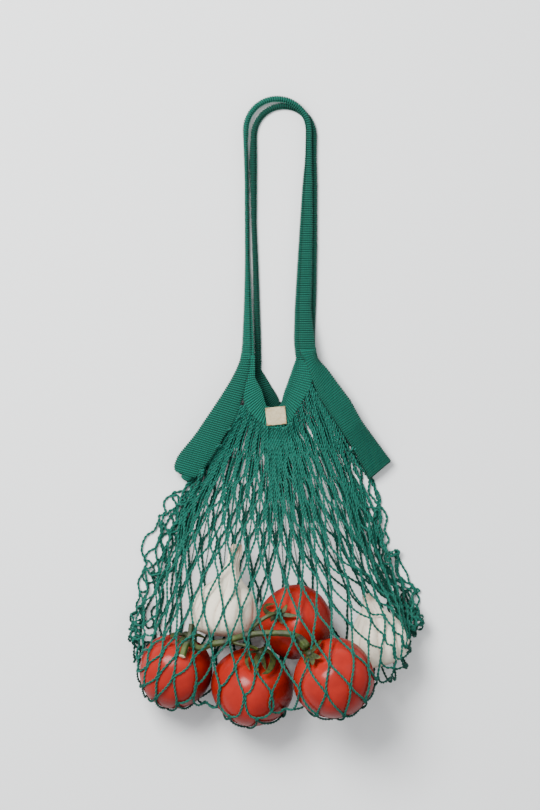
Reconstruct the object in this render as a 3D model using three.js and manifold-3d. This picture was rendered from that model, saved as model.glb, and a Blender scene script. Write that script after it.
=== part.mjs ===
// A knitted net shopping bag with vine tomatoes and garlic in it, lying on its back.
// Millimetres. X runs across the bag, Y from its foot up to its handles, Z up off the floor.
import * as THREE from 'three';
import Module from 'manifold-3d';
import { mergeVertices } from 'three/addons/utils/BufferGeometryUtils.js';

// ---- Driving dimensions -------------------------------------------------------------
const TOUCH_GAP = 0.3; // left between neighbours that touch
const NET_WALL = 2.6; // one layer of knitted net
const NET_CLEARANCE = 2; // from the stretched net to what it holds
const NET_STATIONS = 21; // slices of the net along Y
const NET_SIDES = 40; // points round each slice
const NET_FOOT_Y = -293.4;
const NET_TOP_Y = 28; // above the highest point of the mouth
const NET_SPACING = 1.6; // slices lie closer at the foot, by this power
const NET_DIRECTIONS = 1600; // directions in which the stretched net is measured

const BAND_THICKNESS = 3; // the knitted edging tape
const BACK_LAYER_Z = 0.2; // underside of the edging that lies on the floor
const FRONT_LAYER_Z = 15.2; // underside of the edging nearest the eye

const LABEL_SIZE = { width: 18.4, height: 16.5, thickness: 0.9 };
const LABEL_CENTRE = { x: 0, y: -3.7 };
const LABEL_TURN = 0.05;

const TOMATO_SIDES = 24;
const TOMATO_RINGS = 12;
const SEPAL_COUNT = 5;
const SEPAL_THICKNESS = 1.2;
const SEPAL_LIFT = 1.6; // from the skin to the foot of a sepal
const SEPAL_CURL = 1.4; // how much further its tip stands off
const SEPAL_HALF_WIDTHS = [[0, 1.6], [0.3, 2.9], [0.65, 2.2], [1, 0.5]]; // [share of its length, width]
const CALYX_HUB = { radius: 4, topRadius: 2.4, height: 3.4, lift: 0.9 };

const vector = (x, y, z) => new THREE.Vector3(x, y, z);

// Each tomato: middle, widths, and the direction that its stalk points in.
const TOMATOES = [
  {
    name: 'left', at: vector(-92.6, -237.6, 38.2), across: 67, tall: 71,
    stalk: vector(0.17, 0.93, 0.33), lobes: 5, turn: 0.4, sepalReach: 0.72,
  },
  {
    name: 'centre', at: vector(-21.8, -252.2, 41.6), across: 75, tall: 72,
    stalk: vector(0.2, 0.83, 0.52), lobes: 4, turn: 1.1, sepalReach: 0.7,
  },
  {
    name: 'right', at: vector(52.6, -242.4, 75), across: 74.5, tall: 72.5,
    stalk: vector(-0.55, 0.68, 0.48), lobes: 5, turn: 0.1, sepalReach: 0.62,
  },
  {
    name: 'back', at: vector(17.8, -193, 37.8), across: 68, tall: 67,
    stalk: vector(-0.46, 0.34, 0.82), lobes: 4, turn: 0.7, sepalReach: 0.72,
  },
];
const LOBE_DEPTH = 0.018;
const SHOULDER_DIP = 0.2;
const SHOULDER_SPREAD = 0.5; // in radians from the stalk
const POLE_GAP = 0.1; // from a tomato's pole to its first ring, in radians

// Each garlic bulb: root end, direction of its neck, and its outline as [height, radius].
const GARLIC_CLOVES = 9;
const CLOVE_DEPTH = 0.035;
const GARLICS = [
  {
    name: 'left', root: vector(-50.5, -206, 34.6), neck: vector(0.07, 0.99, 0), bend: 9, turn: 0.2,
    outline: [[0, 9], [1.5, 18], [6, 26], [13, 30], [20, 30.8], [28, 29.6], [36, 26.8], [44, 20.5],
      [52, 12.2], [61, 7], [70, 5.6], [78, 6], [85, 4]],
  },
  {
    name: 'right', root: vector(99.5, -232.5, 31), neck: vector(-0.26, 0.96, 0.08), bend: 2, turn: 0.9,
    outline: [[0, 8], [1.5, 16], [6, 23], [13, 27], [20, 28], [28, 27], [36, 23], [44, 16.5],
      [52, 9.5], [60, 5.5], [67, 3.5]],
  },
];
const GARLIC_SIDES = 30;
const WIDEST_GARLIC = 26; // only what is wider than this holds the net out

// The tomato vine: stem routes and their radii, from the cut end to the right tomato.
const VINE_STEMS = [
  {
    radius: 2.9, steps: 24,
    route: [[-85.6, -222.6, 75], [-80.5, -210, 67], [-70.5, -215.6, 65], [-58, -211.6, 64],
      [-45.1, -209.8, 65], [-37.7, -206.5, 68], [-26.7, -203.3, 73], [-15.6, -201.5, 76.5],
      [-0.9, -201, 78.5], [11, -201.5, 80], [19.3, -204.2, 83], [25, -210, 89], [27.6, -213, 93.5]],
  },
  { radius: 2.4, steps: 4, route: [[-80.5, -211, 67], [-78.5, -202, 66.5], [-77.3, -193.2, 66]] },
  {
    radius: 1.5, steps: 8,
    route: [[-40.5, -209.4, 66], [-33, -212, 68.5], [-24, -213.5, 68.5], [-17, -216.5, 65.5]],
  },
  {
    radius: 1.8, steps: 8,
    route: [[-26.7, -203, 73], [-17.5, -192.7, 76], [-9, -186.5, 77], [-1.5, -183.2, 74.5]],
  },
];
const STEM_SIDES = 8;
const STEM_SWELL = 1; // how far its bends stand out past the route's points

// Where the slack sides and the mouth of the net reach, as balls: [x, y, z, radius].
const NET_SLACK = [
  [-82, -62, 9, 5], [-93, -92, 10, 6], [-106, -131, 12, 8], [-116, -182, 15, 11],
  [84, -60, 9, 5], [87, -104, 10, 6], [102, -137, 12, 8], [118, -187, 14.5, 10.5],
  [-34, 16, 9.2, 4.9], [-12, 30, 9.2, 4.9], [30, 30, 9.2, 4.9], [42, 20, 9.2, 4.9],
];

// The edge of the net at the mouth, across the bag from its left side fold to its right one.
const MOUTH_EDGE = [
  [-160, -67], [-71.6, -67], [-57.4, -40.6], [-35.2, -7], [-30.6, 7], [-29.6, 11.6], [-20.4, -5.2],
  [-9.2, -14.2], [13.5, -12.8], [19.3, -1], [27.2, 11.6], [32.4, 22.8], [50.4, -3.4], [67.6, -29.2],
  [84.2, -60], [160, -60],
];

// Edging round the mouth, as pairs of opposite edge points along each band.
const LEFT_BAND = [
  [[-95, -52], [-72.5, -65.5]], [[-76.3, -25.4], [-58.2, -39.6]], [[-56, 5], [-36.1, -6.1]],
  [[-49.7, 14.5], [-31.5, 8]], [[-40.5, 28.6], [-29.3, 21]], [[-33.5, 41], [-24.6, 35]],
  [[-31.8, 45.6], [-22.8, 45.6]],
];
const RIGHT_BAND = [
  [[104.5, -42.6], [84.8, -58.6]], [[87.3, -18.4], [68.5, -28.4]], [[70.8, 5.5], [51.2, -2.4]],
  [[52.8, 33.4], [35.6, 20.6]], [[43, 45], [33.4, 30.8]], [[37.8, 51.4], [33, 45.6]],
];
const FRONT_MOUTH_BAND = [
  [[-18.6, 45.2], [-21.8, 45.2]], [[-18.2, 31], [-25.4, 31]], [[-13.9, 20.2], [-29.2, 13.4]],
  [[-9.3, 8.5], [-20, -4.2]], [[-4, 5.2], [-9, -13.4]], [[2.5, 6.2], [13, -12]],
  [[5.6, 10.5], [18.8, -0.4]], [[8.5, 17.8], [26.5, 12.2]], [[13.3, 33.4], [31.8, 25.6]],
  [[17.2, 45.4], [32.6, 44.6]],
];
const BACK_MOUTH_BAND = [ // the far V has slid to the right of the near one
  [[-12.9, 45.2], [-21.8, 45.2]], [[-14.4, 40.5], [-23.4, 38]], [[-8.6, 31.5], [-26.5, 27]],
  [[-2.9, 22], [-29.2, 13.4]], [[1.6, 14.5], [-20, -4.2]], [[3.4, 9.2], [-9, -13.4]],
  [[5.5, 9.6], [13, -12]], [[7.4, 12.5], [18.8, -0.4]], [[10.2, 19.5], [26.5, 12.2]],
  [[14.5, 33.4], [31.8, 25.6]], [[19, 45.4], [32.6, 44.6]],
];
const NET_RISE = 0.6; // how steeply the near layer of net rises away from the mouth
const LEFT_TIP_Z = 9; // underside of the near layer at each end of the mouth
const RIGHT_TIP_Z = 5;

// Handle straps, folded lengthwise: [y, left x, right x, underside, height] up each leg, and
// the bend that joins them at the top as [middle x, middle y, radius].
const HANDLES = [
  {
    name: 'front', bend: [1.1, 261, 29.2], bendWidth: 6, bendZ: 5.6,
    leftLeg: [[46, -31.6, -20.4, 15.2, 3], [62, -31.3, -22.1, 13, 4], [103, -29.8, -22.4, 4, 6],
      [142, -29, -24.2, 0.2, 8], [215, -29.2, -25.2, 0.2, 8], [250, -30.4, -25.9, 3, 7]],
    rightLeg: [[52, 17.4, 38, 15.2, 3], [64, 16.2, 36.2, 13.6, 3], [95, 17, 32.8, 7.6, 4],
      [131, 19.1, 33.8, 5.6, 4], [181, 22.3, 34.3, 5.6, 4], [209, 24.1, 34, 5.6, 4.5],
      [236, 26.8, 33.4, 5.6, 5]],
  },
  {
    name: 'back', bend: [7.3, 256, 27.9], bendWidth: 6.4, bendZ: 0.2,
    leftLeg: [[46, -19, -12.6, 0.2, 3], [62, -20.2, -13.5, 0.2, 4], [131, -21.7, -15.9, 0.2, 5],
      [172, -23, -17.7, 0.2, 5], [232, -24.8, -17.2, 0.2, 5]],
    rightLeg: [[52, 24, 36.6, 0.2, 3], [112, 27.6, 37.9, 0.2, 4.6], [154, 30.4, 38.5, 0.2, 4.6],
      [209, 31, 38.6, 0.2, 4.6], [236, 31.4, 38, 0.2, 4.6]],
  },
];
const BEND_STEPS = 10;
const BEND_HEIGHT = 4.6;

// ---- Shape helpers ------------------------------------------------------------------
const wasm = await Module();
wasm.setup();

function signedVolume(points, faces) {
  let volume = 0;
  for (let i = 0; i < faces.length; i += 3) {
    const [a, b, c] = [points[faces[i]], points[faces[i + 1]], points[faces[i + 2]]];
    volume += a.dot(b.clone().cross(c));
  }
  return volume;
}

function meshOf(points, faces) {
  const geometry = new THREE.BufferGeometry().setFromPoints(points);
  geometry.setIndex(faces);
  geometry.computeVertexNormals();
  return geometry;
}

// A closed skin over rings of equal size, with a fan of faces closing each end.
function loft(rings) {
  const sides = rings[0].length;
  const points = rings.flat();
  const faces = [];
  for (let ring = 0; ring + 1 < rings.length; ring++) {
    for (let side = 0; side < sides; side++) {
      const a = ring * sides + side;
      const b = ring * sides + (side + 1) % sides;
      faces.push(a, b, b + sides, a, b + sides, a + sides);
    }
  }
  for (const ring of [0, rings.length - 1]) {
    const middle = rings[ring].reduce((sum, point) => sum.add(point), vector(0, 0, 0));
    points.push(middle.divideScalar(sides));
    for (let side = 0; side < sides; side++) {
      const a = ring * sides + side;
      const b = ring * sides + (side + 1) % sides;
      faces.push(points.length - 1, ...(ring === 0 ? [b, a] : [a, b]));
    }
  }
  if (signedVolume(points, faces) < 0) faces.reverse();
  return meshOf(points, faces);
}

function toSolid(geometry) {
  const bare = geometry.clone();
  bare.deleteAttribute('normal');
  bare.deleteAttribute('uv');
  const merged = mergeVertices(bare, 1e-4);
  return new wasm.Manifold(new wasm.Mesh({
    numProp: 3,
    vertProperties: new Float32Array(merged.attributes.position.array),
    triVerts: new Uint32Array(merged.index.array),
  }));
}

function fromSolid(solid) {
  const { vertProperties, triVerts } = solid.getMesh();
  const geometry = new THREE.BufferGeometry();
  geometry.setAttribute('position', new THREE.BufferAttribute(vertProperties, 3));
  geometry.setIndex(new THREE.BufferAttribute(triVerts, 1));
  geometry.computeVertexNormals();
  return geometry;
}

function outlineShape(points) {
  return new THREE.Shape(points.map(([x, y]) => new THREE.Vector2(x, y)));
}

function finish(colour, roughness) {
  return new THREE.MeshStandardMaterial({ color: colour, roughness, metalness: 0 });
}

const bag = new THREE.Group();

function place(name, geometry, material, parent = bag) {
  const mesh = new THREE.Mesh(geometry, material);
  mesh.name = name;
  parent.add(mesh);
  return mesh;
}

// ---- Tomatoes and their calyxes -----------------------------------------------------
// A point on a tomato's skin: `fall` runs from the stalk (0) to the blossom end (pi).
function skinPoint(tomato, fall, round) {
  const shoulder = Math.exp(-((fall / SHOULDER_SPREAD) ** 2));
  const lobes = Math.sin(fall) * LOBE_DEPTH * Math.cos(tomato.lobes * round + tomato.turn);
  const radius = tomato.across / 2 * (Math.sin(fall) + lobes);
  const height = tomato.tall / 2 * (Math.cos(fall) - SHOULDER_DIP * shoulder);
  return vector(radius * Math.cos(round), radius * Math.sin(round), height);
}

function tomatoGeometry(tomato) {
  const rings = [];
  for (let ring = 0; ring < TOMATO_RINGS; ring++) {
    const fall = POLE_GAP + (Math.PI - 2 * POLE_GAP) * ring / (TOMATO_RINGS - 1);
    const points = [];
    for (let side = 0; side < TOMATO_SIDES; side++) {
      points.push(skinPoint(tomato, fall, 2 * Math.PI * side / TOMATO_SIDES));
    }
    rings.push(points);
  }
  return loft(rings);
}

// One pointed leaf lying over the shoulder, a little off the skin.
function sepalGeometry(tomato, index) {
  const round = tomato.turn + 2 * Math.PI * index / SEPAL_COUNT;
  const across = vector(-Math.sin(round), Math.cos(round), 0);
  const rings = [];
  for (const [share, halfWidth] of SEPAL_HALF_WIDTHS) {
    const foot = skinPoint(tomato, POLE_GAP / 2 + tomato.sepalReach * share, round);
    foot.z += SEPAL_LIFT + SEPAL_CURL * share;
    const head = foot.clone().setZ(foot.z + SEPAL_THICKNESS);
    rings.push([
      foot.clone().addScaledVector(across, -halfWidth),
      foot.clone().addScaledVector(across, halfWidth),
      head.clone().addScaledVector(across, halfWidth),
      head.clone().addScaledVector(across, -halfWidth),
    ]);
  }
  return loft(rings);
}

function calyxGeometry(tomato) {
  const hub = new THREE.CylinderGeometry(CALYX_HUB.topRadius, CALYX_HUB.radius, CALYX_HUB.height, 10);
  hub.rotateX(Math.PI / 2);
  hub.translate(0, 0, skinPoint(tomato, POLE_GAP, 0).z + CALYX_HUB.lift + CALYX_HUB.height / 2);
  let calyx = toSolid(hub);
  for (let index = 0; index < SEPAL_COUNT; index++) {
    calyx = calyx.add(toSolid(sepalGeometry(tomato, index)));
  }
  return fromSolid(calyx);
}

const skinFinish = () => finish(0xc4321f, 0.25);
const leafFinish = () => finish(0x4b6a2c, 0.6);

for (const tomato of TOMATOES) {
  const held = new THREE.Group();
  held.position.copy(tomato.at);
  held.quaternion.setFromUnitVectors(vector(0, 0, 1), tomato.stalk.clone().normalize());
  place(`tomato_${tomato.name}`, tomatoGeometry(tomato), skinFinish(), held);
  place(`calyx_${tomato.name}`, calyxGeometry(tomato), leafFinish(), held);
  bag.add(held);
}

// ---- The vine that the tomatoes grew on ---------------------------------------------
function stemGeometry(stem) {
  const section = new THREE.Shape();
  section.absarc(0, 0, stem.radius, 0, 2 * Math.PI);
  const route = new THREE.CatmullRomCurve3(stem.route.map(([x, y, z]) => vector(x, y, z)));
  return new THREE.ExtrudeGeometry(section, {
    steps: stem.steps, extrudePath: route, curveSegments: STEM_SIDES / 2, bevelEnabled: false,
  });
}

const vine = VINE_STEMS.map((stem) => toSolid(stemGeometry(stem))).reduce((all, stem) => all.add(stem));
place('vine', fromSolid(vine), finish(0x6e8c3c, 0.55));

// ---- Garlic bulbs -------------------------------------------------------------------
function garlicGeometry(garlic) {
  const length = garlic.outline[garlic.outline.length - 1][0];
  return loft(garlic.outline.map(([height, radius], ring) => {
    const lean = garlic.bend * (height / length) ** 2;
    const cloves = Math.sin(Math.PI * Math.min(1, height / (0.7 * length)));
    const points = [];
    for (let side = 0; side < GARLIC_SIDES; side++) {
      const round = 2 * Math.PI * side / GARLIC_SIDES;
      const ridge = Math.abs(Math.cos(GARLIC_CLOVES / 2 * round + garlic.turn)) - 0.6;
      const swell = ring === 0 ? 1 : 1 + CLOVE_DEPTH * cloves * ridge;
      const reach = radius * swell;
      points.push(vector(reach * Math.cos(round) + lean, reach * Math.sin(round), height));
    }
    return points;
  }));
}

for (const garlic of GARLICS) {
  const mesh = place(`garlic_${garlic.name}`, garlicGeometry(garlic), finish(0xe8ddcc, 0.6));
  mesh.position.copy(garlic.root);
  mesh.quaternion.setFromUnitVectors(vector(0, 0, 1), garlic.neck.clone().normalize());
}

// ---- The net ------------------------------------------------------------------------
// The net is stretched over everything it holds, so in each direction it reaches as far as
// the furthest thing inside does.
function heldBalls() {
  const balls = NET_SLACK.map(([x, y, z, radius]) => ({ at: vector(x, y, z), radius }));
  for (const tomato of TOMATOES) {
    balls.push({ at: tomato.at, radius: Math.max(tomato.across, tomato.tall) / 2 * (1 + LOBE_DEPTH) });
  }
  for (const garlic of GARLICS) {
    const along = garlic.neck.clone().normalize();
    for (const [height, radius] of garlic.outline.filter(([, radius]) => radius > WIDEST_GARLIC)) {
      balls.push({ at: garlic.root.clone().addScaledVector(along, height), radius });
    }
  }
  for (const stem of VINE_STEMS) {
    const radius = stem.radius + STEM_SWELL;
    for (const [x, y, z] of stem.route) balls.push({ at: vector(x, y, z), radius });
  }
  return balls;
}

function stretchedNet() {
  const balls = heldBalls();
  const golden = Math.PI * (3 - Math.sqrt(5));
  return Array.from({ length: NET_DIRECTIONS }, (_, i) => {
    const y = 1 - 2 * (i + 0.5) / NET_DIRECTIONS;
    const ring = Math.sqrt(1 - y * y);
    const toward = vector(ring * Math.cos(golden * i), y, ring * Math.sin(golden * i));
    return { toward, reach: Math.max(...balls.map((ball) => ball.at.dot(toward) + ball.radius)) };
  });
}

const NET_LIMITS = stretchedNet();

// How far the net is from a point inside it, going along (x, 0, z).
function distanceToNet(from, x, z, outset) {
  let distance = Infinity;
  for (const { toward, reach } of NET_LIMITS) {
    const facing = x * toward.x + z * toward.z;
    if (facing < 1e-3) continue;
    distance = Math.min(distance, (reach + outset - from.dot(toward)) / facing);
  }
  return distance;
}

function distanceToMouth(point) {
  const nearest = vector(0, 0, 0);
  return Math.min(...MOUTH_EDGE.slice(1).map(([x, y], i) => {
    const edge = new THREE.Line3(vector(...MOUTH_EDGE[i], point.z), vector(x, y, point.z));
    return edge.closestPointToPoint(point, true, nearest).distanceTo(point);
  }));
}

// Closed slices of the net's surface, `outset` beyond what it holds, never under `floor` and,
// at the mouth, no higher than `edge`.
function netSlices(outset, floor, edge, footY) {
  return Array.from({ length: NET_STATIONS }, (_, station) => {
    const share = station / (NET_STATIONS - 1);
    const y = footY + (NET_TOP_Y - footY) * share ** NET_SPACING;
    const middle = vector(-14 + 22 * share, y, 46 - 37 * share);
    const halfWidth = distanceToNet(middle, 1, 0, outset) + distanceToNet(middle, -1, 0, outset);
    const halfHeight = distanceToNet(middle, 0, 1, outset) + distanceToNet(middle, 0, -1, outset);
    return Array.from({ length: NET_SIDES }, (_, side) => {
      const round = 2 * Math.PI * side / NET_SIDES;
      const along = vector(halfWidth * Math.cos(round), 0, halfHeight * Math.sin(round)).normalize();
      const point = middle.clone().addScaledVector(along, distanceToNet(middle, along.x, along.z, outset));
      const ceiling = edge + NET_RISE * distanceToMouth(point);
      return point.setZ(Math.max(Math.min(point.z, ceiling), floor));
    });
  });
}

function netGeometry() {
  const top = FRONT_LAYER_Z + BAND_THICKNESS;
  const outside = toSolid(loft(netSlices(NET_CLEARANCE + NET_WALL, 0, top, NET_FOOT_Y)));
  const inside = toSolid(loft(netSlices(NET_CLEARANCE, NET_WALL, top - NET_WALL, NET_FOOT_Y + NET_WALL)));
  const below = outlineShape([...MOUTH_EDGE, [160, -330], [-160, -330]]);
  const belowMouth = new THREE.ExtrudeGeometry(below, { depth: 160, bevelEnabled: false });
  belowMouth.translate(0, 0, -10);
  return fromSolid(outside.subtract(inside).intersect(toSolid(belowMouth)));
}

const knitFinish = () => finish(0x1c7560, 0.85);
place('net_bag', netGeometry(), knitFinish());

// ---- Knitted edging round the mouth, and the handles --------------------------------
// A flat strip: each station is its two edge points, the height of its underside and its depth.
function strip(stations) {
  return loft(stations.map(([[ax, ay], [bx, by], z, depth]) => [
    vector(ax, ay, z), vector(bx, by, z), vector(bx, by, z + depth), vector(ax, ay, z + depth),
  ]));
}

// A side band is folded over the end of the mouth, so it has a far layer, a near layer and a fold.
function sideBandGeometry(edges, tipZ) {
  const nearZ = (station) => tipZ + (FRONT_LAYER_Z - tipZ) * Math.min(1, station / 2);
  const far = edges.map(([a, b]) => [a, b, BACK_LAYER_Z, BAND_THICKNESS]);
  const near = edges.map(([a, b], station) => [a, b, nearZ(station), BAND_THICKNESS]);
  const [[tipA, tipB], [nextA]] = edges;
  const along = vector(nextA[0] - tipA[0], nextA[1] - tipA[1], 0).setLength(BAND_THICKNESS);
  const inward = ([x, y]) => [x + along.x, y + along.y];
  const depth = tipZ + BAND_THICKNESS - BACK_LAYER_Z;
  const fold = [[tipA, tipB, BACK_LAYER_Z, depth], [inward(tipA), inward(tipB), BACK_LAYER_Z, depth]];
  return fromSolid(toSolid(strip(far)).add(toSolid(strip(near))).add(toSolid(strip(fold))));
}

place('band_left', sideBandGeometry(LEFT_BAND, LEFT_TIP_Z), knitFinish());
place('band_right', sideBandGeometry(RIGHT_BAND, RIGHT_TIP_Z), knitFinish());
function mouthBandGeometry(edges, z) {
  return strip(edges.map(([a, b]) => [a, b, z, BAND_THICKNESS]));
}

place('band_front', mouthBandGeometry(FRONT_MOUTH_BAND, FRONT_LAYER_Z), knitFinish());
place('band_back', mouthBandGeometry(BACK_MOUTH_BAND, BACK_LAYER_Z), knitFinish());


function handleGeometry({ leftLeg, rightLeg, bend, bendWidth, bendZ }) {
  const station = ([y, left, right, z, depth]) => [[left, y], [right, y], z, depth];
  const [middleX, middleY, radius] = bend;
  const over = Array.from({ length: BEND_STEPS + 1 }, (_, step) => {
    const turn = Math.PI * (1 - step / BEND_STEPS);
    const at = (reach) => [middleX + reach * Math.cos(turn), middleY + reach * Math.sin(turn)];
    return [at(radius + bendWidth / 2), at(radius - bendWidth / 2), bendZ, BEND_HEIGHT];
  });
  const down = rightLeg.map(station).reverse().map(([left, right, z, depth]) => [right, left, z, depth]);
  return strip([...leftLeg.map(station), ...over, ...down]);
}

for (const handle of HANDLES) place(`handle_${handle.name}`, handleGeometry(handle), knitFinish());

// ---- The woven label, sewn on the middle of the near band ---------------------------
const { width, height, thickness } = LABEL_SIZE;
const label = place('label', new THREE.BoxGeometry(width, height, thickness), finish(0xe8e0cc, 0.8));
const labelZ = FRONT_LAYER_Z + BAND_THICKNESS + TOUCH_GAP + thickness / 2;
label.position.set(LABEL_CENTRE.x, LABEL_CENTRE.y, labelZ);
label.rotation.z = LABEL_TURN;

export default bag;
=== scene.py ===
# %% [markdown]
# # A net shopping bag with vine tomatoes and garlic
# The bag lies on its back and is seen from straight above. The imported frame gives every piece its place.
# Each cell below makes one piece or one finish, and prints what it made.

# %% Load the frame
import math
import bpy
import numpy as np
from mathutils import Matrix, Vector


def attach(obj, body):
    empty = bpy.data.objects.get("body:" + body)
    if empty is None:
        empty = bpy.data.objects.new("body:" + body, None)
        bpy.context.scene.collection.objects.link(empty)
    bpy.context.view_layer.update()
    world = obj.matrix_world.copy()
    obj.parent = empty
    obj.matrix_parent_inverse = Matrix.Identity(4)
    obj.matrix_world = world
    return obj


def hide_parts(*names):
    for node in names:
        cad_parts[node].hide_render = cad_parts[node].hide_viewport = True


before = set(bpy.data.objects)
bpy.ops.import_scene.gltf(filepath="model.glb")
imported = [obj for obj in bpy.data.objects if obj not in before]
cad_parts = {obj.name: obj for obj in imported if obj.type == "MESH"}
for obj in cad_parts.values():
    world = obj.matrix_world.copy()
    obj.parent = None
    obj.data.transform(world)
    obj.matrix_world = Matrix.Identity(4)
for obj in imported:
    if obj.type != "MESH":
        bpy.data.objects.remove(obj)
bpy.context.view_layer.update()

MM = 0.001

# %% [markdown]
# ## The camera
# A bag that hangs from straps is photographed level, and here it lies on its back, so the camera looks
# straight down. It stands far off with a long lens, because a near one would spread the tomatoes apart.

# %% Camera
VIEW_CENTRE = (-5.5, 6.4)
VIEW_HEIGHT = 745.2
CAMERA_DISTANCE = 4000
SENSOR = 36
BAG_MIDDLE_Z = 35

camera_data = bpy.data.cameras.new("camera")
camera_data.sensor_fit = "VERTICAL"
camera_data.sensor_height = SENSOR
camera_data.lens = SENSOR * CAMERA_DISTANCE / VIEW_HEIGHT
camera = bpy.data.objects.new("camera", camera_data)
bpy.context.collection.objects.link(camera)
camera.location = (VIEW_CENTRE[0] * MM, VIEW_CENTRE[1] * MM, (CAMERA_DISTANCE + BAG_MIDDLE_Z) * MM)
bpy.context.scene.camera = camera
print("lens", round(camera_data.lens), "mm")

# %% [markdown]
# ## Small helpers
# Node trees are wired by one helper that takes each input by name or number. A mesh comes from numpy
# arrays, which keeps a knitted tape with thousands of ribs quick to build.

# %% Node helper
def add(tree, kind, inputs=None, **settings):
    """Adds a node. An input is a number, a colour or the socket that feeds it."""
    node = tree.nodes.new(kind)
    for name, value in settings.items():
        setattr(node, name, value)
    for name, value in (inputs or {}).items():
        if isinstance(value, bpy.types.NodeSocket):
            tree.links.new(value, node.inputs[name])
        else:
            node.inputs[name].default_value = value
    return node


def calc(tree, operation, *values):
    """The result of one sum, as a socket."""
    return add(tree, "ShaderNodeMath", dict(enumerate(values)), operation=operation).outputs[0]


def mark(tree, name, socket="Fac"):
    """What the piece says under this name at each of its points."""
    return add(tree, "ShaderNodeAttribute", attribute_name=name).outputs[socket]

# %% Mesh helpers
def link(name, mesh):
    piece = bpy.data.objects.new(name, mesh)
    bpy.context.collection.objects.link(piece)
    return piece


def mesh_piece(name, points, faces, material=None, smooth=True, **attributes):
    """A piece from points in millimetres. Each attribute is one number or one vector for each point."""
    mesh = bpy.data.meshes.new(name)
    mesh.from_pydata((np.asarray(points) * MM).tolist(), [], faces)
    mesh.polygons.foreach_set("use_smooth", [smooth] * len(mesh.polygons))
    for key, values in attributes.items():
        values = np.asarray(values, float)
        kind, slot = ("FLOAT", "value") if values.ndim == 1 else ("FLOAT_VECTOR", "vector")
        mesh.attributes.new(key, kind, "POINT").data.foreach_set(slot, values.ravel())
    if material:
        mesh.materials.append(material)
    mesh.update()
    return link(name, mesh)


def rings_to_faces(rings, sides):
    """Faces of a closed skin over rings of points, with one flat face at each end."""
    faces = []
    for ring in range(rings - 1):
        for side in range(sides):
            a = ring * sides + side
            b = ring * sides + (side + 1) % sides
            faces.append((a, b, b + sides, a + sides))
    last = (rings - 1) * sides
    faces.append(tuple(range(sides - 1, -1, -1)))
    faces.append(tuple(range(last, last + sides)))
    return faces


def joined(parts):
    """Closed skins side by side in one mesh. Each has its points, its faces and a number for each point."""
    points, faces, numbers = [], [], []
    for part_points, part_faces, part_numbers in parts:
        faces += [tuple(i + len(points) for i in face) for face in part_faces]
        points += part_points.tolist()
        numbers += list(part_numbers)
    return points, faces, numbers


def unit(v):
    v = np.asarray(v, float)
    return v / np.maximum(np.linalg.norm(v, axis=-1, keepdims=True), 1e-9)

# %% Routes
def bend(a, b, c, d, t):
    """The smooth way from b to c, given the places before and after them."""
    return 0.5 * (2 * b + (c - a) * t + (2 * a - 5 * b + 4 * c - d) * t ** 2
                  + (3 * b - a - 3 * c + d) * t ** 3)


def smooth_route(points, step):
    """Points about `step` apart on a smooth curve through the given ones."""
    p = np.array(points, float)
    p = np.vstack([2 * p[0] - p[1], p, 2 * p[-1] - p[-2]])
    out = []
    for i in range(1, len(p) - 2):
        n = max(2, int(np.linalg.norm(p[i + 1] - p[i]) / step) + 1)
        t = np.linspace(0, 1, n, endpoint=False)[:, None]
        out.append(bend(*p[i - 1:i + 3], t))
    return np.vstack(out + [p[-2:-1]])


def tube(route, radii, sides, seed_up=(0, 0, 1)):
    """Rings round a route. Returns the points and the closed faces."""
    route = np.asarray(route, float)
    along = unit(np.gradient(route, axis=0))
    up = unit(np.cross(along, np.cross(np.broadcast_to(seed_up, along.shape), along)))
    across = np.cross(along, up)
    turn = 2 * math.pi * np.arange(sides) / sides
    rim = np.cos(turn)[None, :, None] * across[:, None] + np.sin(turn)[None, :, None] * up[:, None]
    radii = np.asarray(radii, float) + np.zeros((len(route), 1) if np.ndim(radii) == 0 else 1)
    points = route[:, None] + rim * radii.reshape(len(route), -1, 1)
    faces = [f[::-1] for f in rings_to_faces(len(route), sides)]
    return points.reshape(-1, 3), faces


def stood_along(points, axis, at):
    """Points of an upright shape, turned to stand along an axis and moved to their place."""
    turn = Vector((0, 0, 1)).rotation_difference(Vector(axis).normalized()).to_matrix()
    return np.asarray(points) @ np.array(turn).T + np.array(at)

# %% Finishing a piece
def finish_piece(piece, slot, *nodes):
    """Puts a finished piece in the frame in place of its plain solids."""
    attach(piece, "root")
    if nodes:
        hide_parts(*nodes)
    count = sum(len(p.vertices) - 2 for p in piece.data.polygons)
    print(piece.name, count, "triangles")

# %% [markdown]
# ## Finishes
# The cord and the edging are dyed cotton: a rough surface with a soft sheen, whose green varies from
# stitch to stitch at random. Painted shade darkens the edging between its ribs, and the cord and edging
# that lie inside or behind. Tomato skin is the one glossy finish, so its highlights come from the lights
# alone; its shaded side is painted darker.

# %% Material helper
def new_material(name, colour_a, colour_b, mask, roughness, bump=None, bump_depth=0.2, **fixed):
    """A surface that goes from one colour to another by a mask. `mask` and `bump` make sockets."""
    material = bpy.data.materials.new(name)
    material.use_nodes = True
    tree = material.node_tree
    surface = tree.nodes["Principled BSDF"]
    colour = add(tree, "ShaderNodeMix", {0: mask(tree), 6: (*colour_a, 1), 7: (*colour_b, 1)},
                 data_type="RGBA")
    tree.links.new(colour.outputs[2], surface.inputs["Base Color"])
    surface.inputs["Roughness"].default_value = roughness
    for socket, value in fixed.items():
        surface.inputs[socket.replace("_", " ")].default_value = value
    if bump:
        relief = add(tree, "ShaderNodeBump", {"Height": bump(tree), "Strength": 1.0,
                                              "Distance": bump_depth * MM})
        tree.links.new(relief.outputs[0], surface.inputs["Normal"])
    return material


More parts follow.
